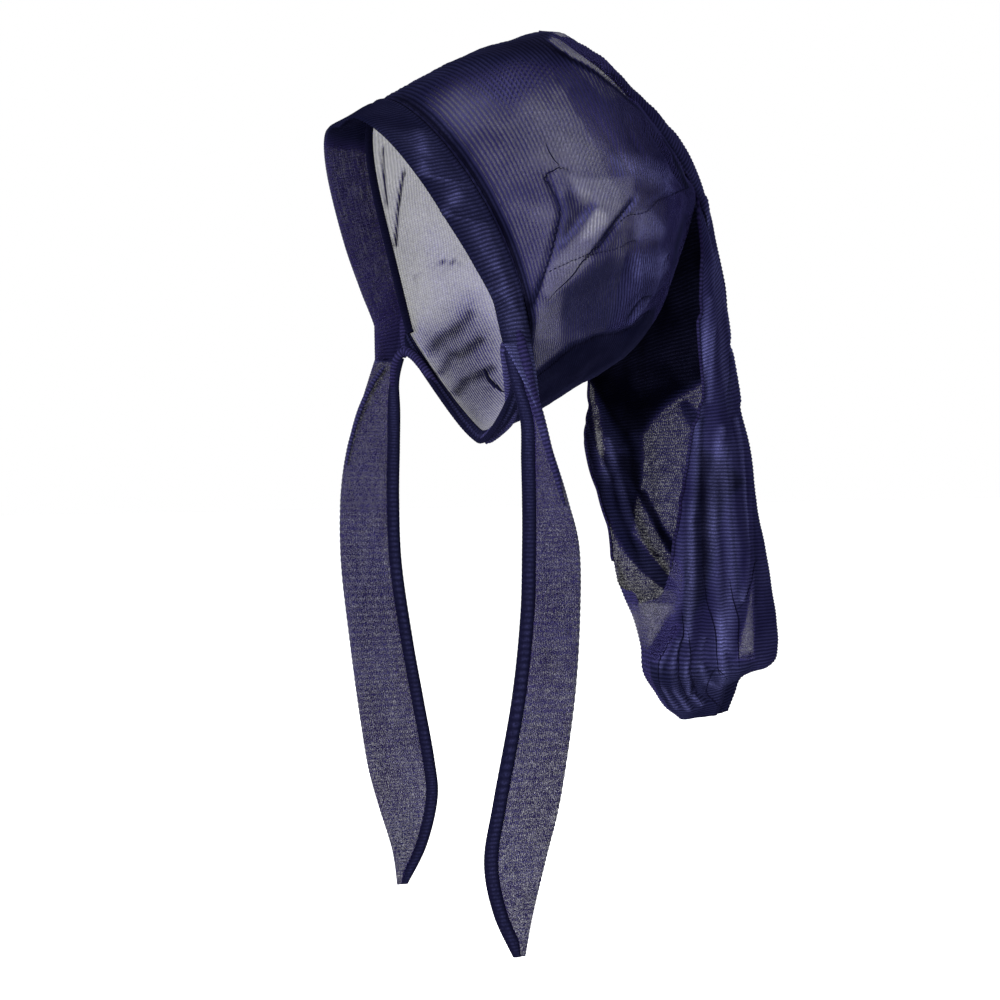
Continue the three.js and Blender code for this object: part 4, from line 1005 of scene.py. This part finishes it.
# the rolled binding round the V at the nape
nape = {
    # angle, forward, down, inward
    "rows": [(-3, 4, 5, 3), (-30, 6, 0, 1), (-60, 5, 1, 0), (-90, 3.5, 6, 0)],
    "start": -0.9,
    "width": 8.6,
    "thick": 3.2,
    "across": 12,
    "ribPitch": 2.3,
    "rowsPerRib": 5,
    "relief": 0.06,
    "foldHeight": 0.5,
    "sections": 181,
    "stitches": 12,
    "shine": (0.25, 0.45),  # amount, width across
}


def addNape():
    first = nape["rows"][0][0]
    lines = []
    for turn in np.linspace(-1, 1, nape["sections"]):
        angle = -90 + (first + 90) * abs(turn)
        _, forward, down, inward = rowsWhere(nape["rows"], 0, [angle])[0]
        edge = crownPoints([0], [angle if turn < 0 else -180 - angle])[0, 0]
        across = np.array([-inward * np.sign(edge[0]), -forward, -down])
        across /= np.linalg.norm(across)
        reach = nape["start"] + np.linspace(0, nape["width"], nape["across"])
        lines.append(edge + across * reach[:, None])
    middle = np.array(lines)
    run = runAlong(middle[:, nape["across"] // 2])
    ribs = round(run[-1] / nape["ribPitch"])
    middle = sectionsAt(middle, run, np.linspace(0, run[-1], ribs * nape["rowsPerRib"] + 1))
    ring = stripRing(middle, nape["thick"], roundness=0.8)
    across = outAndBack(np.linspace(-1, 1, nape["across"]))
    lift = nape["relief"] * ribWave(np.arange(len(ring)) / nape["rowsPerRib"])[:, None]
    lift = lift + nape["foldHeight"] * np.cos(3 * math.pi * across)
    ring = ring + outwardNormals(ring) * lift[..., None]
    amount, spread = nape["shine"]
    shine = amount * np.exp(-((across / spread) ** 2))
    return stripMesh("napeBinding", ring, ribs, nape["stitches"], bindingKnit, {"shine": shine})


napePiece = addNape()
print("nape binding ready")


# the trimmed and overlocked edges of crown and band inside the bonnet
seamRoll = {
    "angles": (-5, 189, 181),  # from, to, how many
    "inset": 2.4,
    "width": 5.0,
    "thick": 2.2,
    "ribPitch": 1.7,
    "rowsPerRib": 4,
    "relief": 0.15,
    "across": 9,
    "stitches": 10,
    "smoothing": 6,  # rows either way
}


def addSeamRoll():
    # from joint to joint over the top
    forward = openingForward()
    edge = crownPoints([0], np.linspace(*seamRoll["angles"]))[0]
    inward = band["openingMiddle"] - edge
    inward -= forward * (inward @ forward)[:, None]
    inward /= np.linalg.norm(inward, axis=1, keepdims=True)
    share = np.linspace(-0.5, 0.5, seamRoll["across"])
    middle = (edge[:, None, :] + inward[:, None, :] * seamRoll["inset"]
              - forward * (share * seamRoll["width"])[None, :, None])
    ribs = round(runAlong(edge)[-1] / seamRoll["ribPitch"])
    rows = ribs * seamRoll["rowsPerRib"] + 1
    nearest = [np.argmin(np.linalg.norm(edge - point, axis=1)) for point in evenRow(edge, rows)]
    at = smoothed(np.array(nearest, float), seamRoll["smoothing"])
    middle = sectionsAt(middle, np.arange(len(edge)), at)
    ring = stripRing(middle, seamRoll["thick"], roundness=0.7)
    relief = seamRoll["relief"] * ribWave(np.arange(rows) / seamRoll["rowsPerRib"])
    ring = ring + outwardNormals(ring) * relief[:, None, None]
    return stripMesh("crownSeam", ring, ribs, seamRoll["stitches"], bindingKnit)


seamRollPiece = addSeamRoll()
print("seam roll ready")


# the long pouch behind, open in front and gathered at the bottom
tail = {
    # ridgeY, ridgeZ, frontY, frontZ, half for each ring from the crown's top down
    "rings": [
        (55, 180, 52, 168, 5), (73, 177, 62, 150, 17), (91, 169, 74, 130, 25), (107, 155, 84, 108, 31),
        (127, 138, 92, 86, 35), (145, 117, 98, 60, 38), (157, 92, 101, 34, 40), (165, 55, 102, 8, 42),
        (171, 10, 101, -16, 43), (178, -25, 96, -36, 44), (187, -52, 94, -54, 44),
        (190, -80, 96, -76, 43), (197, -105, 104, -104, 39), (203, -130, 115, -128, 34),
        (209, -152, 124, -150, 27), (211, -167, 128, -166, 23), (208, -178, 129, -182, 21),
        (187, -184, 136, -194, 17), (182, -195, 142, -203, 13), (178, -205, 149, -208, 7)],
    "inside": (0, 150, -100),  # outwards is away from this
    "frontSquareness": 0.6,
    # degrees from the ridge towards the left, width, height
    "pleats": [(22, 9, 2.5), (55, 10, -2.5), (82, 9, 2), (-30, 10, -2), (-62, 11, 2.5)],
    "pleatStart": 6.7,  # the ring where they have their full height
    "crownGap": 0.9,  # the wall ends this far from the crown
    # the mouth's two edges: y, z
    "leftEdge": [
        (96, 120), (128, 104), (136, 70), (134, 37), (135, -9), (133, -24), (127, -45), (122, -76),
        (121, -105), (122, -135), (100, -146)],
    "rightEdge": [
        (96, 120), (128, 104), (136, 70), (128, 30), (110, 0), (104, -16), (112, -26), (106, -38),
        (105, -46), (108, -56), (115, -74), (122, -100), (122, -128), (100, -146)],
    "rimRadius": 0.9,
    "ribPitch": 2.1,
    "rowsPerRib": 4,
    "stitchPitch": 1.25,
    "across": 112,
    "fineAcross": 361,
    "limitSteps": 121,  # places tried on each side of a ring for the wall's end
    "limitEvery": 6,  # rows
    "limitSmoothing": 4,  # rows either way
    "relief": 0.22,
    "longWrinkles": [(0.4, 14, 31)],
    "drawnOut": 0.35,  # z is shrunk to this for them, which draws them out downwards
    "wrinkles": [(0.3, 24, 32)],
    "glintStrength": 1.5,
    # lines of x, y, z and outlines of y, z that more than one table uses
    "shared": {
        "ridgeFold": [(23, 90, 155), (27, 103, 140), (29, 118, 124), (29, 132, 106), (30, 144, 86),
            (30, 150, 66)],
        "nearCrest": [(43, 139, 31), (45, 135, -5), (44, 131, -35), (44, 130, -63), (41, 129, -91),
            (34, 134, -125), (22, 139, -159)],
        "rearCrest": [(45, 146, -41), (44, 141, -69), (41, 144, -97), (35, 150, -125), (25, 160, -160),
            (20, 164, -184)],
        "backCrest": [(32, 165, -35), (33, 168, -58), (32, 172, -92), (34, 171, -114), (33, 169, -137)],
        "upperCrest": [(24, 155, 60), (26, 160, 33), (22, 169, 5), (18, 177, -23)],
        "sideCrest": [(25, 149, 90), (35, 146, 55), (44, 141, 14), (45, 138, -24)],
        "slantCrease": [(20, 168, 11), (34, 159, -24), (44, 151, -58), (42, 157, -91), (36, 164, -125),
            (31, 169, -143)],
        "longCrease": [(45, 135, -35), (44, 135, -69), (39, 139, -102), (31, 145, -136), (21, 148, -171),
            (15, 146, -195)],
        "backCrease": [(22, 183, -69), (27, 182, -104), (24, 186, -139)],
        "frontCrest": [(41, 123, -82), (35, 127, -113), (28, 130, -136), (17, 129, -154), (6, 129, -172),
            (-2, 137, -195)],
        "tabFirst": [(18, 132, -160), (12, 130, -174), (10, 134, -189), (10, 142, -200)],
        "tabSecond": [(21, 138, -159), (17, 135, -176), (15, 140, -190), (13, 150, -200)],
        "tabThird": [(22, 145, -165), (20, 143, -178), (17, 148, -190), (15, 158, -196)],
        "tabFourth": [(24, 152, -160), (22, 151, -171), (21, 157, -179), (22, 165, -179)],
        "farCrest": [(-38, 109, -37), (-41, 119, -55), (-42, 124, -70)],
        "farCrease": [(-42, 124, -46), (-42, 130, -64), (-40, 136, -86), (-37, 142, -107),
            (-34, 154, -122)],
    },
    # creases: width, height, path
    "creases": [
        (2.2, -1.8, "ridgeFold"), (2.4, 1.5, "nearCrest"), (2.6, 1.5, "rearCrest"),
        (2.4, 1.4, "backCrest"), (2.6, 1.3, "upperCrest"), (2.8, 1.4, "sideCrest"),
        (2.0, -1.4, "slantCrease"), (1.8, -1.6, "longCrease"), (2.2, -1.3, "backCrease"),
        (2.2, 1.8, "frontCrest"), (1.6, -1.8, "tabFirst"), (1.6, -1.8, "tabSecond"),
        (1.6, -1.8, "tabThird"), (1.6, -1.8, "tabFourth"),
        (1.6, -1.6, [(25, 161, -160), (23, 165, -169), (22, 170, -177)]), (2.2, -2.0, "farCrest"),
        (2.4, 1.6, [(-42, 119, -34), (-42, 125, -58), (-41, 130, -82), (-37, 137, -106), (-33, 148, -127),
            (-31, 162, -136)]),
        (2.4, -2.0, "farCrease"),
        (2.2, -2.0, [(-37, 107, -46), (-39, 112, -61), (-39, 116, -76), (-37, 120, -94), (-34, 124, -108),
            (-28, 125, -126)])],
    # the lit side of a crease
    "glints": [
        (2.0, 0.5, "nearCrest"), (2.4, 0.6, "rearCrest"), (1.8, 0.5, "backCrest"),
        (1.8, 0.4, "upperCrest"), (2.0, 0.4, "sideCrest"), (1.6, 0.4, "frontCrest"),
        (1.2, 0.4, [(15, 131, -161), (9, 129, -175), (7, 133, -190), (7, 141, -200)]),
        (1.2, 0.4, [(20, 135, -160), (15, 133, -176), (13, 137, -190), (12, 146, -201)]),
        (1.2, 0.4, [(22, 142, -165), (19, 140, -178), (16, 144, -191), (14, 154, -198)]),
        (1.4, 0.4, [(24, 149, -160), (21, 148, -173), (19, 153, -184), (18, 163, -188)]),
        (1.6, 0.5, "farCrest"), (1.6, 0.5, "farCrease"),
        (1.4, 0.4, [(-37, 107, -46), (-39, 112, -61), (-39, 116, -76), (-37, 120, -94),
            (-34, 124, -108)])],
    # the far wall's fold, swung in towards the mouth: side, softness, height, outline of y, z
    "swells": [
        (-1, 5, -3.5, [(118, -20), (140, -50), (146, -77), (142, -90), (150, -112), (166, -133),
            (150, -128), (130, -110), (122, -80), (127, -52)])],
    # narrow lines of doubled cloth, darkened with painted shade in the crease: width, amount, path
    "lines": [
        (1.6, 0.6, "ridgeFold"), (0.7, 0.35, [(-39, 158, -77), (-36, 169, -95)]),
        (0.7, 0.4, [(-37, 145, -115), (-35, 167, -116)]), (1.0, 0.3, "slantCrease"),
        (1.2, 0.4, "longCrease"), (1.0, 0.3, "backCrease"), (0.8, 0.4, "tabFirst"),
        (0.8, 0.4, "tabSecond"), (0.8, 0.4, "tabThird"), (0.8, 0.4, "tabFourth")],
    # cover and painted shade: side, softness, amount, outline of y, z, as on the crown
    "layers": [
        # the first three make the far wall inside the mouth opaque and paint it with deep painted shade
        (-1, 3, 1.0, [(90, 30), (95, 0), (104, -8), (115, -14), (127, -31), (138, -43), (149, -40),
            (170, -12), (185, 0), (185, 30)]),
        (-1, 16, 1.0, [(90, 5), (90, 58), (185, 58), (185, 5)]),
        (-1, 3, 1.0, [(154, 40), (200, 40), (200, 130), (140, 130), (147, 108), (152, 94), (154, 80)]),
        (-1, 6, -0.25, [(100, 138), (130, 122), (143, 106), (148, 92), (150, 66), (90, 66), (84, 120)]),
        (-1, 22, -0.6, [(60, 200), (96, 150), (114, 136), (128, 120), (139, 104), (145, 84), (145, 64),
            (100, 64), (50, 100)]),
        (-1, 1.5, 0.5, [(111, -8), (148, -24), (138, -43), (130, -53), (147, -60), (145, -77), (140, -87),
            (137, -102), (147, -115), (166, -135), (158, -135), (145, -126), (133, -114), (126, -102),
            (120, -82), (118, -70), (125, -51), (120, -32)]),
        (-1, 2, 0.5, [(138, -43), (148, -41), (148, -70), (144, -77), (131, -60), (132, -49)]),
        (-1, 1.2, 1.0, [(144, -76), (150, -77), (158, -93), (168, -110), (168, -119), (163, -112),
            (153, -93)]),
        (-1, 2, -0.12, [(116, -39), (121, -43), (120, -56), (114, -53)]),
        (-1, 1.5, 0.4, [(167, -25), (168, -22), (174, -32), (173, -39), (169, -31)]),
        (-1, 3, 0.25, [(135, -172), (144, -165), (155, -153), (166, -152), (164, -172), (169, -205),
            (150, -210), (143, -187)]),
        (1, 6, 0.3, [(60, 150), (110, 160), (180, 60), (185, -30), (210, -120), (215, -215), (120, -215),
            (120, -30), (130, 100)]),
        (1, 2, -0.5, [(177, -126), (171, -172), (188, -174)]),
        (1, 1.5, -0.6, [(100, -112), (124, -112), (130, -124), (134, -143), (133, -158), (130.5, -168),
            (126, -174), (100, -176)]),
        (-1, 2, -0.03, [(119, -85), (125, -104), (132, -115), (143, -125), (165, -138), (165, -141),
            (120, -137)]),
        (-1, 2, -0.2, [(120, -141), (165, -145), (155, -153), (144, -165), (135, -172), (124, -150)]),
        (-1, 2, -0.12, [(116, -147), (131, -147), (131, -166), (116, -169)]),
        (1, 5, 0.2, [(120, -176), (185, -176), (185, -215), (120, -215)]),
        (-1, 2, -0.27, [(196, -126), (203, -126), (206, -172), (197, -178)]),
        (-1, 1.5, 0.3, [(100, -22), (112, -26), (117, -50), (120, -72), (124, -90), (121, -100),
            (100, -100)]),
        (-1, 2, -0.2, [(60, 178), (76, 176), (91, 168), (101, 160), (97, 161), (81, 170), (67, 173)]),
        (1, 3, -0.1, [(176, -79), (171, -111), (167, -128), (174, -127), (179, -90)]),
        (1, 3, 0.5, [(170, -70), (130, -50), (130, -80), (130, -110), (128, -150), (138, -149),
            (143, -133), (146, -100), (150, -78)])],
    "shine": [
        (1, 5, 0.2, [(149, 60), (150, 20), (153, -10), (157, -33), (163, -30), (160, -5), (157, 20),
            (157, 60)]),
        (1, 5, 0.5, [(144, -50), (148, -77), (154, -101), (157, -130), (160, -167), (167, -167),
            (164, -130), (162, -110), (156, -80), (152, -50)]),
        (1, 3, 0.05, [(159, -170), (154, -180), (154, -190), (168, -201), (178, -190), (172, -172)])],
}


def tailPoints(places, turns):
    # turns in degrees, one row of them for every place
    ridgeY, ridgeZ, frontY, frontZ, half = [column[:, None] for column in rowsAt(tail["rings"], places).T]
    middleY, middleZ = (ridgeY + frontY) / 2, (ridgeZ + frontZ) / 2
    backY, backZ = ridgeY - middleY, ridgeZ - middleZ
    depth = np.hypot(backY, backZ)
    backY, backZ = backY / depth, backZ / depth
    turns = np.broadcast_to(turns, (len(places), np.shape(turns)[-1]))
    cosine, sine = np.cos(np.radians(turns)), np.sin(np.radians(turns))
    power = np.where(cosine > 0, 1, tail["frontSquareness"])
    pleat = sum(height * np.exp(-(((turns - at) / width) ** 2)) for at, width, height in tail["pleats"])
    pleat = pleat * np.clip(np.asarray(places) / tail["pleatStart"], 0, 1)[:, None]
    reach = (depth + pleat) * np.sign(cosine) * np.abs(cosine) ** power
    side = (half + pleat) * np.sign(sine) * np.abs(sine) ** power
    return np.stack([side, middleY + backY * reach, middleZ + backZ * reach], axis=2)


def insideCrown(point):
    near, normal = nearestCloth(point, crownTree, crown["inside"])
    return (framePoint(point) - near).dot(normal) * 1000 < tail["crownGap"]


def wallLimit(places, side):
    # how far round each ring the wall goes before the mouth or the crown ends it
    edge = np.array(tail["leftEdge" if side > 0 else "rightEdge"], float)
    turns = np.linspace(0, 180, tail["limitSteps"])
    limits = []
    for place in places:
        line = tailPoints([place], side * turns)[0]
        edgeY = np.interp(-line[:, 2], -edge[:, 1], edge[:, 0], left=-999, right=-999)
        out = line[:, 1] < edgeY
        limit = 180.0
        for k in range(1, len(turns)):
            if out[k] or insideCrown(line[k]):
                limit = turns[k] - turns[1] / 2
                break
        limits.append(limit)
    return limits


def tailCloth():
    last = len(tail["rings"]) - 1
    coarse = np.linspace(-100, 100, 21)
    _, length = evenPlaces(lambda at: tailPoints(at, coarse), last, 10)
    ribs = round(length / tail["ribPitch"])
    places, _ = evenPlaces(lambda at: tailPoints(at, coarse), last, ribs * tail["rowsPerRib"] + 1)
    sparse = places[::tail["limitEvery"]]
    limits = [np.interp(places, sparse, wallLimit(sparse, side)) for side in (1, -1)]
    left, right = [smoothed(limit, tail["limitSmoothing"])[:, None] for limit in limits]
    lines = tailPoints(places, -right + (left + right) * np.linspace(0, 1, tail["fineAcross"])[None, :])
    grid = np.stack([evenRow(line, tail["across"]) for line in lines])
    normal = outwardNormals(grid, closed=False)
    v = np.arange(len(grid)) / tail["rowsPerRib"]
    relief = tail["relief"] * ribWave(v)[:, None]
    drawnOut = grid * np.array([1, 1, tail["drawnOut"]])
    wrinkle = noiseSum(drawnOut, tail["longWrinkles"]) + noiseSum(grid, tail["wrinkles"])
    folds = lineSum(grid, tail["creases"], tail["shared"]) + patchSum(grid, tail["swells"])
    return grid + normal * (relief + wrinkle + folds)[..., None], v


tailGrid, tailV = tailCloth()
tailWidth = np.linalg.norm(np.diff(tailGrid, axis=1), axis=2).sum(axis=1)
tailU = np.linspace(0, 1, tail["across"])[None, :] * (tailWidth[:, None] / tail["stitchPitch"])
tailUv = np.stack(np.broadcast_arrays(tailU, tailV[:, None]), axis=-1)
tailCoverAndShade = patchSum(tailGrid, tail["layers"]) + lineSum(tailGrid, tail["lines"], tail["shared"])
tailShine = (patchSum(tailGrid, tail["shine"])
             + tail["glintStrength"] * lineSum(tailGrid, tail["glints"], tail["shared"]))
tailPiece = clothMesh("braidPouch", tailGrid, tailUv, tailKnit, {"layers": tailCoverAndShade, "shine": tailShine})
tailTree = BVHTree.FromObject(tailPiece, bpy.context.evaluated_depsgraph_get())
print("braid pouch ready", tailGrid.shape)


def addRim(name, column, lowest, highest):
    # the rolled edge of the pouch's mouth, where it shows
    edge = tailGrid[::tail["rowsPerRib"], column]
    edge = edge[(edge[:, 2] > lowest) & (edge[:, 2] < highest)]
    return tube(name, edge, tail["rimRadius"], hemKnit)


leftRim = addRim("pouchLeftRim", -1, -118, 999)
rightRim = addRim("pouchRightRim", 0, -118, -6)
print("pouch rims ready")


# rows of stitches, and dark lines along fold edges that are partly painted shade, on the cloth
seams = {
    # paths over the crown's cloth
    "stitches": {
        "sideStitches": [
            (40, 128, 93), (59, 106, 85), (72, 90, 79), (79, 77, 71), (82, 65, 68), (83, 59, 64)],
        "upperStitches": [
            (82, 19, 37), (84, 27, 41), (84, 37, 45), (83, 43, 47), (81, 55, 50), (79, 65, 54),
            (77, 74, 56)],
        "hemStitches": crown["shared"]["hemSeam"],
    },
    "bandPlace": 0.12,  # of the way to the crown's second ring
    "bandAngles": (-4, 96, 15),  # from, to, how many
    # dark lines along fold edges too narrow for the cloth's own mesh, partly painted shade in the crease:
    # radius and path
    "nearFolds": [
        (0.55, [(77, 12, 20), (80, 14, 28), (81, 17, 38), (82, 20, 48), (82, 23, 58), (82, 25, 68),
            (80, 24, 75)]),
        (0.35, [(80, 24, 75), (76, 21, 85), (77, 24, 89), (78, 28, 91), (79, 32, 90)]),
        (0.38, [(80, 20, 23), (82, 23, 28), (83, 32, 36), (84, 38, 43), (83, 46, 50), (83, 53, 58),
            (83, 59, 64)]),
        (0.45, [(82, 67, 76), (83, 61, 69), (83, 54, 61), (83, 49, 54)]),
        (0.4, [(45, 101, 23), (56, 86, 19), (53, 79, 12), (52, 73, 8)]), (0.35, crown["shared"]["lowTuck"]),
        (0.3, [(72, 22, 104), (75, 24, 97), (78, 28, 91)])],
    "farFolds": [
        (1.3, [(-50, 46, -4), (-44, 46, -10), (-37, 48, -15), (-32, 50, -18)])],
    "pouchFolds": [
        (0.8, tail["shared"]["ridgeFold"]),
        (0.4, [(37, 138, -113), (31, 146, -136), (26, 155, -154), (22, 159, -172), (21, 161, -179),
            (19, 167, -187)]),
        (0.5, [(22, 159, -176), (20, 155, -183), (17, 155, -191), (15, 162, -197), (5, 174, -203)]),
        (0.4, [(22, 160, -177), (20, 167, -184), (19, 172, -185)]),
        (0.4, [(36, 158, -125), (33, 163, -137), (29, 169, -149), (25, 171, -161), (22, 173, -177),
            (19, 172, -185)]),
        (0.35, [(26, 185, -115), (32, 174, -131), (31, 169, -142)]),
        (0.5, [(26, 132, -141), (23, 136, -154), (18, 136, -169), (17, 136, -178), (16, 139, -187),
            (14, 145, -195)]),
        (0.4, [(17, 131, -158), (9, 129, -172), (7, 130, -184), (2, 139, -198), (4, 145, -205)]),
        (0.4, [(24, 137, -152), (21, 143, -169), (20, 143, -178), (17, 148, -190), (13, 157, -201)])],
}


def stitchRow(name, path, length=1.5, gap=1.1, radius=0.32):
    # separate little stitches along a path
    count = int(runAlong(path)[-1] // (length + gap))
    fine = evenRow(path, max(count, 2) * 8 + 1)  # of 8 steps, the thread takes 5 and the gap 3
    radii = [radius * size for size in (0.25, 0.85, 1.0, 1.0, 0.85, 0.25)]
    lines = [fine[number * 8:number * 8 + 6] for number in range(count)]
    return threadMesh(name, [(line, np.tile(line[-1] - line[0], (6, 1)), radii) for line in lines])


def addFolds(name, edges, lift, **cloth):
    # thin dark threads along fold edges too narrow for the cloth's own mesh, partly the doubled edge and
    # partly painted shade in the crease
    strands = []
    for radius, path in edges:
        line = onCloth(path, lift, 12 * len(path), **cloth)
        last = len(line) - 1
        radii = [radius * max(math.sin(math.pi * step / last), 0.15) ** 0.6 for step in range(last + 1)]
        strands.append((line, np.gradient(line, axis=0), radii))
    return threadMesh(name, strands)


bandLine = crownPoints([seams["bandPlace"]], np.linspace(*seams["bandAngles"]))[0].tolist()
seamPieces = [
    addFolds("nearFolds", seams["nearFolds"], 0.1),
    addFolds("farFolds", seams["farFolds"], -0.1),
    # a dark line of painted shadow on the crown, where the band stands off it
    addFolds("bandShadowLine", [(0.7, bandLine)], 0.3),
    addFolds("pouchFolds", seams["pouchFolds"], 0.05, tree=tailTree, inside=tail["inside"]),
]
for seamName, route in seams["stitches"].items():
    seamPieces.append(stitchRow(seamName, onCloth(route, 0.25, 20 * len(route))))
print("seams ready")


# each piece rides on the root, and the first ones hide the model's parts they stand in for
for piece, node, slot in (
        (crownPiece, "crown", "knit"), (bandPiece, "brow_band", "double_knit"),
        (napePiece, "nape_binding", "binding"),
        (leftTie, "left_tie", "double_knit"), (rightTie, "right_tie", "double_knit"),
        (leftBinding, "left_tie_binding", "binding"), (rightBinding, "right_tie_binding", "binding"),
        (tailPiece, "braid_tail", "knit")):
    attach(piece, "root")
    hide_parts(node)
for piece in (leftRim, rightRim, seamRollPiece, *rollPieces.values(), *seamPieces):
    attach(piece, "root")
